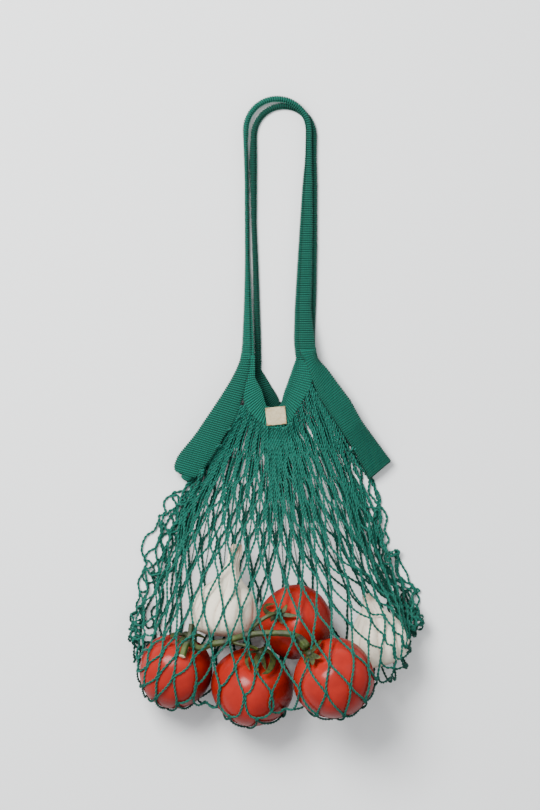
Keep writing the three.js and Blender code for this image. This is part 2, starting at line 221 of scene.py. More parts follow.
def grain(size, detail=3, stretch=(1, 1, 1), contrast=None, attribute=None):
    """A noise pattern whose patches are about `size` millimetres across."""
    def make(tree):
        if attribute:
            place = mark(tree, attribute, "Vector")
        else:
            place = add(tree, "ShaderNodeTexCoord").outputs["Object"]
        spot = add(tree, "ShaderNodeMapping", {"Vector": place, "Scale": stretch})
        noise = add(tree, "ShaderNodeTexNoise", {"Vector": spot.outputs[0], "Detail": detail,
                                                 "Scale": 1 / (size * MM)})
        if contrast is None:
            return noise.outputs[0]
        return add(tree, "ShaderNodeMapRange", {"Value": noise.outputs[0], "From Min": contrast[0],
                                                "From Max": contrast[1]}).outputs[0]
    return make

# %% Green cotton
# The darker green serves the uneven dye and the painted shade on cords that lie inside or behind.
YARN_DARK = (0.001, 0.055, 0.038)
YARN_LIGHT = (0.008, 0.17, 0.121)


def cord_shade(tree):
    """Uneven dye, and painted shade on what lies inside or behind."""
    light = calc(tree, "SUBTRACT", 1, calc(tree, "MULTIPLY", mark(tree, "deep"), 0.85))
    return calc(tree, "MULTIPLY", grain(1.1, contrast=(0.25, 0.7))(tree), light)


cord_finish = new_material("green_cord", YARN_DARK, YARN_LIGHT, cord_shade, 0.9,
                           bump=grain(0.5, detail=4), bump_depth=0.5,
                           Sheen_Weight=0.05, Sheen_Roughness=0.5, Specular_IOR_Level=0.2)

# %% Ribbed edging
RIB_PITCH = 2.1
STITCH_WIDTH = 1.7


def along_tape(tree):
    """How far along and across its tape a point lies, in millimetres."""
    place = add(tree, "ShaderNodeSeparateXYZ", {0: mark(tree, "tape", "Vector")})
    return place.outputs[0], place.outputs[1]


def wave(tree, value, pitch, power=1.0):
    """A row of humps from 0 to 1 with one hump to each pitch."""
    hump = calc(tree, "ABSOLUTE", calc(tree, "SINE", calc(tree, "MULTIPLY", value, math.pi / pitch)))
    return calc(tree, "POWER", hump, power)


def knit_shade(tree):
    """Painted shade: light on the ribs, dark between them, with a darker gap at each stitch, and darker on
    what lies inside or behind.
    """
    run, across = along_tape(tree)
    bow = calc(tree, "MULTIPLY", wave(tree, across, STITCH_WIDTH), 0.5)
    ridge = wave(tree, calc(tree, "ADD", run, bow), RIB_PITCH, 0.9)
    stitch = calc(tree, "MULTIPLY_ADD", wave(tree, across, STITCH_WIDTH), 0.5, 0.55)
    patches = calc(tree, "MULTIPLY_ADD", grain(1.3)(tree), 0.9, 0.5)
    light = calc(tree, "SUBTRACT", 1, calc(tree, "MULTIPLY", mark(tree, "deep"), 0.75))
    return calc(tree, "MULTIPLY", calc(tree, "MULTIPLY", ridge, stitch),
                calc(tree, "MULTIPLY", patches, light))


def knit_relief(tree):
    """Small V stitches on the ribs."""
    run, across = along_tape(tree)
    slope = calc(tree, "MULTIPLY", wave(tree, across, STITCH_WIDTH), 0.6)
    row = wave(tree, calc(tree, "ADD", run, slope), RIB_PITCH)
    return calc(tree, "ADD", row, calc(tree, "MULTIPLY", grain(0.6)(tree), 1.2))


# The near-black green is painted shade, between the ribs and on pieces that lie inside or behind.
tape_finish = new_material("green_edging", (0.0003, 0.017, 0.011), (0.008, 0.150, 0.102), knit_shade, 0.9,
                           bump=knit_relief, bump_depth=0.4,
                           Sheen_Weight=0.04, Sheen_Roughness=0.5, Specular_IOR_Level=0.15)

# %% [markdown]
# ## What the bag holds
# These are the same driving sizes as the solids have, in millimetres. The net is stretched over them
# later, so they come first.

# %% Tomato sizes
TOMATOES = {
    "left": dict(at=(-92.6, -237.6, 38.2), across=67, tall=71,
                 stalk=(0.17, 0.93, 0.33), lobes=5, turn=0.4),
    "centre": dict(at=(-21.8, -252.2, 41.6), across=75, tall=72,
                   stalk=(0.2, 0.83, 0.52), lobes=4, turn=1.1),
    "right": dict(at=(52.6, -242.4, 75), across=74.5, tall=72.5,
                  stalk=(-0.55, 0.68, 0.48), lobes=5, turn=0.1),
    "back": dict(at=(17.8, -193, 37.8), across=68, tall=67,
                 stalk=(-0.46, 0.34, 0.82), lobes=4, turn=0.7),
}
LOBE_DEPTH = 0.018
SHOULDER_DIP = 0.2
SHOULDER_SPREAD = 0.5

# %% Garlic sizes
GARLICS = {
    "left": dict(root=(-50.5, -206, 34.6), neck=(0.07, 0.99, 0), bend=9, turn=0.2,
                 outline=[(0, 9), (1.5, 18), (6, 26), (13, 30), (20, 30.8), (28, 29.6), (36, 26.8),
                          (44, 20.5), (52, 12.2), (61, 7), (70, 5.6), (78, 6), (85, 4)]),
    "right": dict(root=(99.5, -232.5, 31), neck=(-0.26, 0.96, 0.08), bend=2, turn=0.9,
                  outline=[(0, 8), (1.5, 16), (6, 23), (13, 27), (20, 28), (28, 27), (36, 23),
                           (44, 16.5), (52, 9.5), (60, 5.5), (67, 3.5)]),
}
CLOVES = 9
CLOVE_DEPTH = 0.035

# %% Vine sizes
MAIN_STEM = [(-85.6, -222.6, 75), (-80.5, -210, 67), (-70.5, -215.6, 65), (-58, -211.6, 64),
             (-45.1, -209.8, 65), (-37.7, -206.5, 68), (-26.7, -203.3, 73), (-15.6, -201.5, 76.5),
             (-0.9, -201, 78.5), (11, -201.5, 80), (19.3, -204.2, 83), (25, -210, 89), (27.6, -213, 93.5)]
SIDE_STEMS = [  # radius, how green, and the way
    (2.4, 0.3, [(-80.5, -211, 67), (-78.5, -202, 66.5), (-77.3, -193.2, 66)]),
    (1.5, 1, [(-40.5, -209.4, 66), (-33, -212, 68.5), (-24, -213.5, 68.5), (-17, -216.5, 65.5)]),
    (1.8, 0.6, [(-26.7, -203, 73), (-17.5, -192.7, 76), (-9, -186.5, 77), (-1.5, -183.2, 74.5)]),
]
MAIN_RADIUS = 2.9

# %% [markdown]
# ## The net
# A bag like this is knitted in one piece. Two cords run side by side for a few millimetres at each
# joint, then part and join the cord on their other side, which makes the diamonds. It could be drawn as
# a pattern on a sheet, but a real net pulls into long thin diamonds where it is stretched and drops into
# open loops where it is slack. So its cords are worked out as a chain of short links that hang from the
# mouth, rest on what is inside, and are drawn out towards where the bag's outline reaches.

# %% Numbering of the net
JOINTS_ACROSS = 22
MIDDLE_JOINT = 10
HALF_ROWS = 12
POINTS_BETWEEN = 4
RING = 2 * JOINTS_ACROSS
CORDS = 2 * RING
JOINT_LENGTH = 2.0
CORD_RADIUS = 1.12
MOUTH_SWELL = 0.1  # how much thicker the cords are at the mouth, where the knitting is close
TIGHT_EASE = 0.985  # the length of a cord for each millimetre that it spans over the contents
SIDE_EASE = (0.11, 0.04)  # how much more of it hangs loose at the left and at the right side


def joint_of(cord, row):
    """The joint that a cord passes. Its partner there changes with each half row."""
    return cord // 2 if row % 2 == 0 else (cord - 1) // 2 % RING


def cords_of(joint, row):
    """The two cords that meet at a joint."""
    return (2 * joint, 2 * joint + 1) if row % 2 == 0 else (2 * joint + 1, (2 * joint + 2) % CORDS)


def upper(row, joint):
    return 2 * (row * RING + joint)


def lower(row, joint):
    return upper(row, joint) + 1


def between(cord, row, step):
    return 2 * RING * (HALF_ROWS + 1) + (cord * HALF_ROWS + row) * POINTS_BETWEEN + step


POINT_COUNT = between(CORDS, 0, 0)
print("net:", CORDS, "cords,", POINT_COUNT, "points")

# %% Where the outline of the bag takes the net
NEAR_MOUTH_Z = 16.8
FAR_MOUTH_Z = 1.7
MOUTH_JOINTS = [(-68, -55), (-52, -30), (-42, -14), (-35, -3), (-31, 6), (-27, 8), (-23, 3), (-18, -3),
                (-14, -8), (-9, -13), (-5, -14), (-1, -14), (3, -14), (8, -14), (13, -10), (17, -3),
                (22, 6), (27, 17), (31.5, 25), (38, 19), (51, 0), (72, -34)]
GUIDES = {  # half row: [joint across, x, y]
    0: [(i, *at) for i, at in enumerate(MOUTH_JOINTS)],
    3: [(0, -93, -87), (1, -88, -87), (2, -83, -86), (3, -78, -84), (4, -72, -80), (5, -56, -76),
        (7, -32, -71), (9, -8, -72), (11, 5, -72), (13, 20, -70), (15, 38, -70), (16, 49, -71),
        (17, 60, -73), (18, 70, -76), (19, 79, -79), (20, 88, -82), (21, 97, -86)],
    6: [(0, -119, -133), (1, -109, -135), (2, -99, -135), (3, -92, -134), (4, -85, -133), (5, -73, -134),
        (7, -40, -132), (9, -13, -134), (11, 13, -135), (13, 36, -134), (15, 60, -134), (16, 72, -133),
        (17, 81, -132), (18, 88, -131), (19, 95, -130), (20, 102, -129), (21, 110, -128)],
    9: [(0, -131, -186), (1, -125, -193), (2, -117, -198), (3, -107, -202), (4, -96, -204),
        (5, -84, -204), (7, -53, -205), (9, -17, -213), (11, 26, -207), (12, 43, -204), (13, 61, -198),
        (14, 79, -191), (15, 95, -188), (16, 104, -186), (17, 110, -183), (18, 115, -181),
        (19, 120, -179), (20, 125, -177), (21, 129, -175)],
    12: [(0, -132, -200), (1, -130.5, -209), (2, -128.5, -221), (3, -126, -238), (4, -121, -250),
         (5, -110, -261), (6, -92, -266.5), (7, -64, -265), (8, -42, -280), (9, -18, -281), (10, 8, -270),
         (11, 38.5, -274), (12, 62, -276), (13, 81, -263), (14, 92, -240), (15, 108.5, -234.5),
         (16, 114, -226), (17, 119, -215), (18, 123, -207), (19, 127, -201), (20, 130, -196),
         (21, 132, -190)],
}
# The height of the fold at the foot, at joints across
FOLD_HEIGHTS = ([0, 3, 7, 8, 10, 11, 13, 14, 15, 16, 21], [24, 34, 40, 42, 50, 72, 70, 60, 45, 34, 24])


def guide_row(row, across):
    points = np.array(GUIDES[row], float)
    return np.array([np.interp(across, points[:, 0], points[:, axis]) for axis in (1, 2)])


def guide(across, row):
    """A smooth place down the bag, through the guide rows."""
    rows = sorted(GUIDES)
    i = min(max(int(np.searchsorted(rows, row, "right")) - 1, 0), len(rows) - 2)
    t = (row - rows[i]) / (rows[i + 1] - rows[i])
    b, c = guide_row(rows[i], across), guide_row(rows[i + 1], across)
    a = guide_row(rows[i - 1], across) if i else 2 * b - c
    d = guide_row(rows[i + 2], across) if i + 2 < len(rows) else 2 * c - b
    return bend(a, b, c, d, t)


def across_of(cord):
    """How far across the bag a cord lies, in joints, on either layer."""
    return ((cord if cord < RING else CORDS - 1 - cord) - 0.5) / 2


FULL_NET = (3.5, 17.5)  # joints across between which the contents fill the net
SLACKENS_OVER = 3.5  # joints from there to where it is slackest


def slackness(cord):
    """0 over the contents, up to 1 at the sides, where nothing fills the net."""
    across = across_of(cord)
    return float(np.clip(max(FULL_NET[0] - across, across - FULL_NET[1]) / SLACKENS_OVER, 0, 1))

# %% What the net rests on
LOBE_ROOM = 1.01  # the net rides on the lobes of a tomato
KNUCKLE_ROOM = 1.15  # and on the knuckles of the stem
STEM_GAP = 0.3
STEM_BALL_STEP = 3.5
GARLIC_BALLS = 22
FIRST_GARLIC_BALL = 9

tomato_shapes = [(np.array(t["at"]), t["across"] / 2 * LOBE_ROOM + CORD_RADIUS, unit(t["stalk"]),
                  t["tall"] / t["across"]) for t in TOMATOES.values()]
ball_middles = []
ball_radii = []
for garlic in GARLICS.values():
    heights, widths = np.array(garlic["outline"], float).T
    for height in np.linspace(FIRST_GARLIC_BALL, heights[-1], GARLIC_BALLS):
        ball_middles.append(np.array(garlic["root"]) + unit(garlic["neck"]) * height)
        ball_radii.append(np.interp(height, heights, widths) + CORD_RADIUS)
for radius, _, stem in [(MAIN_RADIUS * KNUCKLE_ROOM, 1, MAIN_STEM)] + SIDE_STEMS:
    for at in smooth_route(stem, STEM_BALL_STEP):
        ball_middles.append(at)
        ball_radii.append(radius + CORD_RADIUS + STEM_GAP)
ball_middles, ball_radii = np.array(ball_middles), np.array(ball_radii)


def keep_out(points):
    """Moves points out of the tomatoes, the garlic and the vine."""
    for middle, radius, axis, squash in tomato_shapes:
        d = points - middle
        stretched = d + np.outer(d @ axis * (1 / squash - 1), axis)
        far = np.linalg.norm(stretched, axis=1)
        inside = far < radius
        points[inside] = middle + d[inside] * (radius / np.maximum(far[inside], 1e-6))[:, None]
    for middle, radius in zip(ball_middles, ball_radii):
        d = points - middle
        far = (d * d).sum(1)
        inside = far < radius * radius
        points[inside] = middle + d[inside] * (radius / np.sqrt(np.maximum(far[inside], 1e-6)))[:, None]
    return points

# %% The height of a net drawn tight over its contents
def spread_directions(count):
    """Directions that point up, spread evenly over half a ball."""
    golden = math.pi * (3 - math.sqrt(5))
    z = (np.arange(count) + 0.5) / count
    ring = np.sqrt(1 - z * z)
    turn = golden * np.arange(count)
    return np.column_stack([ring * np.cos(turn), ring * np.sin(turn), z])


TIGHT_DIRECTIONS = spread_directions(700)
SIDE_EDGE_Z = 8
LOWEST_NEAR_LAYER = 4.2
side_edges = [(*guide(side, row), SIDE_EDGE_Z) for side in (0, JOINTS_ACROSS - 1) for row in (5, 8, 11)]
held_out = np.vstack([[s[0] for s in tomato_shapes], ball_middles,
                      [(*at, NEAR_MOUTH_Z) for at in MOUTH_JOINTS], side_edges])
held_radii = np.zeros(len(held_out)) + 1
held_radii[:len(tomato_shapes)] = [s[1] for s in tomato_shapes]
held_radii[len(tomato_shapes):len(tomato_shapes) + len(ball_radii)] = ball_radii
tight_reach = (TIGHT_DIRECTIONS @ held_out.T + held_radii).max(1)


def tight_height(at):
    """How high a sheet drawn tight over everything would lie at a place seen from above."""
    heights = (tight_reach - TIGHT_DIRECTIONS[:, :2] @ at) / TIGHT_DIRECTIONS[:, 2]
    return max(heights.min(), LOWEST_NEAR_LAYER)

# %% The first place of each point
JOINT_STRAYS = (0.8, 2.4, 0)
UPPER_STRAYS = (0.6, 1.6, 1)  # how many times more the joints of the upper half stray each way
SLACK_STRAYS = 1.6  # how many times more again where the net is slackest
JOINT_SHARE = 0.04  # half of a joint, in half rows
NEAR_TURN = 1.2  # half rows in which the near layer comes down to the fold
FAR_TURN = 2  # half rows before the foot at which the far layer leaves the floor
FAR_LAYER_Z = 1.6
# The first joints of the far layer lie this much lower than those at the foot: joints across, drop
UNDER_FOOT = ([0, 12.5, 14, 21], [26, 26, 11, 11])
LOWEST_FOOT = 4


def fold_height(across):
    """The foot of the bag lies on whatever is under it."""
    heights = [np.interp(across, *FOLD_HEIGHTS)]
    at = guide(across, HALF_ROWS)
    balls = [s[:2] for s in tomato_shapes] + list(zip(ball_middles, ball_radii))
    for middle, radius in balls:
        beside = np.linalg.norm(at - middle[:2])
        if beside < radius:
            heights.append(middle[2] + math.sqrt(radius ** 2 - beside ** 2))
    return max(heights)


def near_place(across, row):
    """On the near layer: drawn tight over the contents, then down to the fold."""
    at = guide(across, row)
    z = tight_height(at)
    share = np.clip((row - HALF_ROWS + NEAR_TURN) / NEAR_TURN, 0, 1)
    return np.array([*at, z + (fold_height(across) - z) * share])


def far_place(across, row):
    """On the far layer: flat on the floor, half a joint aside of the near one, then up to the fold."""
    free = min(1, row / 1.5) * min(1, (HALF_ROWS - row) / 3)
    inset = 0.5 + 0.7 * max(0, 1 - across / 4) - 1.7 * max(0, across / 4 - 4.25)
    at = guide(across + inset * free, min(HALF_ROWS, row * HALF_ROWS / (HALF_ROWS - 1)))
    fold_z = fold_height(across)
    foot_z = max(LOWEST_FOOT, fold_z - np.interp(across, *UNDER_FOOT))
    if row > HALF_ROWS - 1:
        return np.array([*at, fold_z + (foot_z - fold_z) * (HALF_ROWS - row)])
    share = np.clip(row - HALF_ROWS + FAR_TURN, 0, 1) ** 1.3
    return np.array([*at, FAR_LAYER_Z + (foot_z - FAR_LAYER_Z) * share])


def first_place(cord, row):
    place = near_place if cord < RING else far_place
    return place(across_of(cord), row)


def lay_out_net(chance):
    """Every point's first place. The joints stray a little, and the points between them lie straight."""
    points = np.zeros((POINT_COUNT, 3))
    strays = chance.normal(0, 1, (HALF_ROWS + 1, RING, 3)) * JOINT_STRAYS
    strays[2:8] *= UPPER_STRAYS
    strays[1] *= 0.5
    strays[0] = strays[-1] = 0
    for row in range(HALF_ROWS + 1):
        for joint in range(RING):
            pair = cords_of(joint, row)
            for point, at in ((upper(row, joint), max(0, row - JOINT_SHARE)),
                              (lower(row, joint), min(HALF_ROWS, row + JOINT_SHARE))):
                stray = strays[row, joint] * (1 + SLACK_STRAYS * slackness(pair[0]))
                points[point] = sum(first_place(c, at) for c in pair) / 2 + stray
    for cord in range(CORDS):
        for row in range(HALF_ROWS):
            a = points[lower(row, joint_of(cord, row))]
            b = points[upper(row + 1, joint_of(cord, row + 1))]
            for step in range(POINTS_BETWEEN):
                share = (step + 1) / (POINTS_BETWEEN + 1)
                points[between(cord, row, step)] = a + (b - a) * share
    return keep_out(points)

# %% The links that hold the net together
KEEP, PULL, PUSH = 0, 1, 2  # keeps its length, only pulls when longer, only pushes when shorter
CELL_PUSH = 0.06
STRAIGHTENING = ((2, 1.94, 0.25), (3, 2.79, 0.12))  # over how many links, to what length, how strongly
JOINT_STRAIGHT = 3.5  # a cord leaves a joint straight enough to reach this much further
JOINT_PUSH = 0.3
FOLD_GAP = 2.0  # between the near and the far layer at the foot


def net_links(points, uneven):
    """Each link is two points, a length, its sort and its strength. A cord is as long as its way is."""
    links = []
    for row in range(HALF_ROWS + 1):
        for joint in range(RING):
            links.append((upper(row, joint), lower(row, joint), JOINT_LENGTH, KEEP, 1))
    for cord in range(CORDS):
        for row in range(HALF_ROWS):
            chain = [lower(row, joint_of(cord, row))]
            chain += [between(cord, row, k) for k in range(POINTS_BETWEEN)]
            chain += [upper(row + 1, joint_of(cord, row + 1))]
            spans = np.linalg.norm(np.diff(points[chain], axis=0), axis=1).sum()
            loose = SIDE_EASE[across_of(cord) > MIDDLE_JOINT] * slackness(cord)
            step = spans * (TIGHT_EASE + uneven[cord, row] + loose) / (POINTS_BETWEEN + 1)
            stiff = 0.1 + 0.9 * slackness(cord)
            for a, b in zip(chain, chain[1:]):
                links.append((a, b, step, KEEP, 1))
            for skip, reach, strength in STRAIGHTENING:
                for a, b in zip(chain, chain[skip:]):
                    links.append((a, b, reach * step, PUSH, strength * stiff))
            if row:
                above, joint = between(cord, row - 1, POINTS_BETWEEN - 1), joint_of(cord, row)
                for a, b in ((above, lower(row, joint)), (upper(row, joint), chain[1])):
                    links.append((a, b, JOINT_LENGTH + JOINT_STRAIGHT, PUSH, JOINT_PUSH * stiff))
    for row in range(HALF_ROWS + 1):
        for joint in range(RING):
            a, b = cords_of(joint, row)
            slack = slackness(a)
            narrow, wide, strength = 4 + 4 * slack, 5 + 8 * slack, CELL_PUSH * slack
            spreads = []
            if row < HALF_ROWS:
                spreads += [(row, 1, narrow), (row, 2, wide)]
            if row:
                spreads += [(row - 1, 2, narrow), (row - 1, 1, wide)]
            for at, step, width in spreads:
                links.append((between(a, at, step), between(b, at, step), width, PUSH, strength))
    for joint in range(JOINTS_ACROSS):
        other = lower(HALF_ROWS, RING - 1 - joint)
        links.append((lower(HALF_ROWS, joint), other, FOLD_GAP, PULL, 1))
    return sorted(links, key=lambda each: each[3])


def in_groups(links):
    """Groups of links that share no point, so that one numpy step can settle a whole group."""
    taken, groups = [], []
    for each in links:
        for used, group in zip(taken, groups):
            if each[0] not in used and each[1] not in used:
                break
        else:
            used, group = set(), []
            taken.append(used)
            groups.append(group)
        used.update(each[:2])
        group.append(each)
    columns = [np.array(group, float).T for group in groups]
    return [(c[0].astype(int), c[1].astype(int), c[2], c[3], c[4]) for c in columns]


def settle(points, weight, groups):
    """Moves the two ends of each link towards its right length."""
    for a, b, length, sort, strength in groups:
        d = points[b] - points[a]
        far = np.sqrt((d * d).sum(1)) + 1e-9
        wrong = far - length
        wrong[(sort == PUSH) & (wrong > 0) | (sort == PULL) & (wrong < 0)] = 0
        share = weight[a] + weight[b]
        move = (wrong * strength / (far * np.where(share > 0, share, 1)))[:, None] * d
        points[a] += move * weight[a][:, None]
        points[b] -= move * weight[b][:, None]

# %% Cords that touch
def touching(points, owner, reach):
    """Pairs of points nearer than `reach` on different stretches of cord, found on a grid."""
    cell = np.floor(points / reach).astype(np.int64)
    size = 4001  # more cells than the bag has in any direction
    key = (cell[:, 0] * size + cell[:, 1]) * size + cell[:, 2]
    order = np.argsort(key, kind="stable")
    ranked = key[order]
    firsts, seconds = [], []
    around = (-1, 0, 1)
    steps = [(x, y, z) for x in (0, 1) for y in around for z in around if (x, y, z) >= (0, 0, 0)]
    for x, y, z in steps:
        wanted = key + (x * size + y) * size + z
        low, high = np.searchsorted(ranked, wanted, "left"), np.searchsorted(ranked, wanted, "right")
        count = high - low
        first = np.repeat(np.arange(len(points)), count)
        second = order[np.repeat(low - np.cumsum(count) + count, count) + np.arange(count.sum())]
        d = points[first] - points[second]
        keep = ((d * d).sum(1) < reach * reach) & (owner[first] != owner[second])
        keep &= (first < second) if (x, y, z) == (0, 0, 0) else True
        firsts.append(first[keep])
        seconds.append(second[keep])
    return np.concatenate(firsts), np.concatenate(seconds)


TOUCH_PUSH = 0.15


def push_apart(points, pairs, weight):
    """Cords that lie on each other move a little apart."""
    a, b = pairs
    d = points[b] - points[a]
    far = np.sqrt((d * d).sum(1)) + 1e-9
    move = (np.minimum(far - 2 * CORD_RADIUS, 0) * TOUCH_PUSH / far)[:, None] * d
    for axis in range(3):
        points[:, axis] += np.bincount(a, move[:, axis], POINT_COUNT) * weight
        points[:, axis] -= np.bincount(b, move[:, axis], POINT_COUNT) * weight

# %% Let the net hang
STEPS = 320
ROUNDS = 4
GRAVITY = np.array([0, -0.012, -0.012])
DRAG = 0.86
OUTLINE_PULL = (0.05, 0.012)  # towards the outline, where tight and where slack
FOLD_PULL = (0.8, 0.7)  # towards the outline at the foot, and the share of it lost where slack
LAYER_LIFT = 2.6
UNEVEN_LENGTH = 0.003
SHAKE = (0.1, 1.2)  # how far each point starts from its place, and how much further where slack
TOUCH_FROM, TOUCH_EVERY = 60, 20  # the steps at which cords that touch are looked for
TOUCH_REACH = 2.6 * CORD_RADIUS
FASTEST = 2


def point_facts():
    """How slack the net is at each point, how low it may lie, and which stretch of cord it is on."""
    slack, lowest = np.zeros(POINT_COUNT), np.full(POINT_COUNT, CORD_RADIUS)
    owner = np.full(POINT_COUNT, -1)
    for cord in range(CORDS):
        lift = LAYER_LIFT * min(1, min(cord, RING - 1 - cord) / 3) if cord < RING else 0
        for row in range(HALF_ROWS):
            mine = [between(cord, row, k) for k in range(POINTS_BETWEEN)]
            owner[mine] = cord * HALF_ROWS + row
            mine += [upper(row, joint_of(cord, row)), lower(row, joint_of(cord, row))]
            slack[mine] = slackness(cord)
            lowest[mine] = CORD_RADIUS + lift
    return slack, lowest, owner


def pin_mouth(points):
    """Sets the joints of the mouth in their places. Returns a weight for each point, 0 if pinned."""
    weight = np.ones(POINT_COUNT)
    for joint, at in enumerate(MOUTH_JOINTS):
        for pinned, z in ((upper(0, joint), NEAR_MOUTH_Z), (upper(0, RING - 1 - joint), FAR_MOUTH_Z)):
            points[pinned] = (*at, z)
            weight[pinned] = 0
    return weight


def hang_net(seed=4):
    """The places of all points after the net has hung from its mouth for a while."""
    chance = np.random.default_rng(seed)
    points = lay_out_net(chance)
    target = points.copy()
    groups = in_groups(net_links(points, chance.normal(0, UNEVEN_LENGTH, (CORDS, HALF_ROWS))))
    slack, lowest, owner = point_facts()
    points += chance.normal(0, 1, points.shape) * (SHAKE[0] + SHAKE[1] * slack)[:, None]
    weight = pin_mouth(points)
    is_joint = np.arange(POINT_COUNT) < between(0, 0, 0)
    pull = np.where(is_joint, OUTLINE_PULL[0] * (1 - slack) + OUTLINE_PULL[1] * slack, 0)[:, None]
    fold = np.array([upper(HALF_ROWS, joint) for joint in range(JOINTS_ACROSS)])
    fold_slack = np.array([slackness(2 * joint) for joint in range(JOINTS_ACROSS)])
    fold_pull = (FOLD_PULL[0] * (1 - FOLD_PULL[1] * fold_slack))[:, None]
    fold_target = keep_out(target[fold].copy())
    pinned = weight == 0
    pairs, speed = None, np.zeros_like(points)
    for step in range(STEPS):
        before = points.copy()
        points += (speed * DRAG + GRAVITY) * weight[:, None]
        for _ in range(ROUNDS):
            settle(points, weight, groups)
            points[:, :2] += (target[:, :2] - points[:, :2]) * pull
            points[fold] += (fold_target - points[fold]) * fold_pull
            if pairs:
                push_apart(points, pairs, weight)
            keep_out(points)
            points[:, 2] = np.maximum(points[:, 2], lowest)
            points[pinned] = before[pinned]
        if step >= TOUCH_FROM and step % TOUCH_EVERY == 0:
            near = touching(points, owner, TOUCH_REACH)
            both = (owner[near[0]] >= 0) & (owner[near[1]] >= 0)
            pairs = (near[0][both], near[1][both])
        speed = np.clip(points - before, -FASTEST, FASTEST)
    return points


net_points = hang_net()
print("net settled between", np.round(net_points.min(0)), "and", np.round(net_points.max(0)), "mm")

# %% [markdown]
# ### From points to cords
# At a joint the two cords lie side by side, so each point there moves to its own side. Each
# near cord runs on round the fold of the bag into a far one. Geometry Nodes then sweep the two-ply cord
# along every route: two round plies side by side, turned a little at each step, which winds them.

# %% The route of each cord
SIDE_BY_SIDE = 0.75 * CORD_RADIUS
MOUTH_SPREAD = 0.6  # how much further the cords of a joint lie apart at the mouth
DROOP = 3.2  # in the slack left side a cord leaves its joint sideways and then drops
CLOSE_DOWN_TO = 7.5  # the half row where the knitting is as open as it gets
OPENS_OVER = 4  # half rows
LOWEST_CORD = 1.15 * CORD_RADIUS


def joint_side(points, joint, row):
    """Which way one cord of a joint lies from the other."""
    a, b = cords_of(joint, row)
    side = np.zeros(3)
    if row < HALF_ROWS:
        side += points[between(b, row, 0)] - points[between(a, row, 0)]
    if row:
        last = POINTS_BETWEEN - 1
        side += points[between(b, row - 1, last)] - points[between(a, row - 1, last)]
    along = unit(points[lower(row, joint)] - points[upper(row, joint)])
    side -= along * (side @ along)
    if np.linalg.norm(side) < 0.3:
        side = np.cross(along, (0, 0, 1 if a < RING else -1))
    return unit(side)


def near_mouth(row):
    """1 where the knitting is close, down to 0 where the diamonds open."""
    return np.clip((CLOSE_DOWN_TO - row) / OPENS_OVER, 0, 1)


def cord_route(points, cord):
    """Down a cord from the mouth to the foot, on its own side of each joint."""
    route = []
    for row in range(HALF_ROWS + 1):
        joint = joint_of(cord, row)
        side = joint_side(points, joint, row)
        way = -1 if cords_of(joint, row)[0] == cord else 1
        side *= SIDE_BY_SIDE * (1 + MOUTH_SPREAD * near_mouth(row)) * way
        route += [points[upper(row, joint)] + side, points[lower(row, joint)] + side]
        if row < HALF_ROWS:
            stretch = points[[between(cord, row, k) for k in range(POINTS_BETWEEN)]]
            share = np.linspace(0, 1, POINTS_BETWEEN + 2)[1:-1]
            gap = points[upper(row + 1, joint_of(cord, row + 1))] - points[lower(row, joint)]
            early = np.outer(1 - (1 - share) ** 2.5 - share, (gap[0], 0, 0))
            late = np.outer(share ** 1.5 - share, (0, gap[1], 0))
            slack = slackness(cord) if across_of(cord) < MIDDLE_JOINT else 0
            route += list(stretch + (early + late) * DROOP * slack * (1 - slack))
    route = np.array(route)
    rows = np.linspace(0, HALF_ROWS, len(route))
    route[:, 2] = np.maximum(route[:, 2], LOWEST_CORD * (1 + MOUTH_SWELL * near_mouth(rows)))
    return route


whole_cords = [np.vstack([cord_route(net_points, cord), cord_route(net_points, CORDS - 1 - cord)[::-1]])
               for cord in range(RING)]
print(len(whole_cords), "whole cords, each", len(whole_cords[0]), "points")

# %% The close knitting at the mouth
CLOSE_ROWS = 6  # a further strand fills each diamond down to about this half row
STRAND_SIZE = 0.52  # of a cord's
SLACKEST = 0.45  # cords that are slacker than this have no strand beside them


def strand_route(points, cord):
    """Halfway between a cord and the next, from the mouth to a joint that they share. Some are shorter."""
    last = CLOSE_ROWS - cord % 2 - 2 * (cord % 5 == 0)
    count = last * (POINTS_BETWEEN + 2) + 2
    return (cord_route(points, cord)[:count] + cord_route(points, cord + 1)[:count]) / 2


close_cords = [cord for cord in range(CORDS - 1) if cord != RING - 1 and slackness(cord) < SLACKEST]
strands = [strand_route(net_points, cord) for cord in close_cords]
print(len(strands), "strands of close knitting")

# %% Geometry Nodes helpers
def new_tree(name, **inputs):
    """A tree with a geometry input and one named number for each size. Returns it with its input node."""
    tree = bpy.data.node_groups.new(name, "GeometryNodeTree")
    tree.interface.new_socket("Geometry", in_out="INPUT", socket_type="NodeSocketGeometry")
    for label, value in inputs.items():
        socket = tree.interface.new_socket(label.replace("_", " "), socket_type="NodeSocketFloat")
        socket.default_value = value
    tree.interface.new_socket("Material", socket_type="NodeSocketMaterial")
    tree.interface.new_socket("Geometry", in_out="OUTPUT", socket_type="NodeSocketGeometry")
    return tree, tree.nodes.new("NodeGroupInput").outputs


def end_tree(tree, geometry, material):
    """Every tree ends in real faces that wear their material."""
    real = add(tree, "GeometryNodeRealizeInstances", {0: geometry})
    dressed = add(tree, "GeometryNodeSetMaterial", {"Geometry": real.outputs[0], "Material": material})
    tree.links.new(dressed.outputs[0], tree.nodes.new("NodeGroupOutput").inputs[0])


def grow(name, source, tree, **values):
    """Runs a tree on a source object and keeps the result as a plain mesh."""
    modifier = source.modifiers.new(name, "NODES")
    modifier.node_group = tree
    wanted = {key.replace("_", " "): value for key, value in values.items()}
    for item in tree.interface.items_tree:
        if item.in_out == "INPUT" and item.name in wanted:
            modifier[item.identifier] = wanted[item.name]
    shown = source.evaluated_get(bpy.context.evaluated_depsgraph_get())
    mesh = bpy.data.meshes.new_from_object(shown)
    bpy.data.objects.remove(source)
    mesh.name = name
    return link(name, mesh)

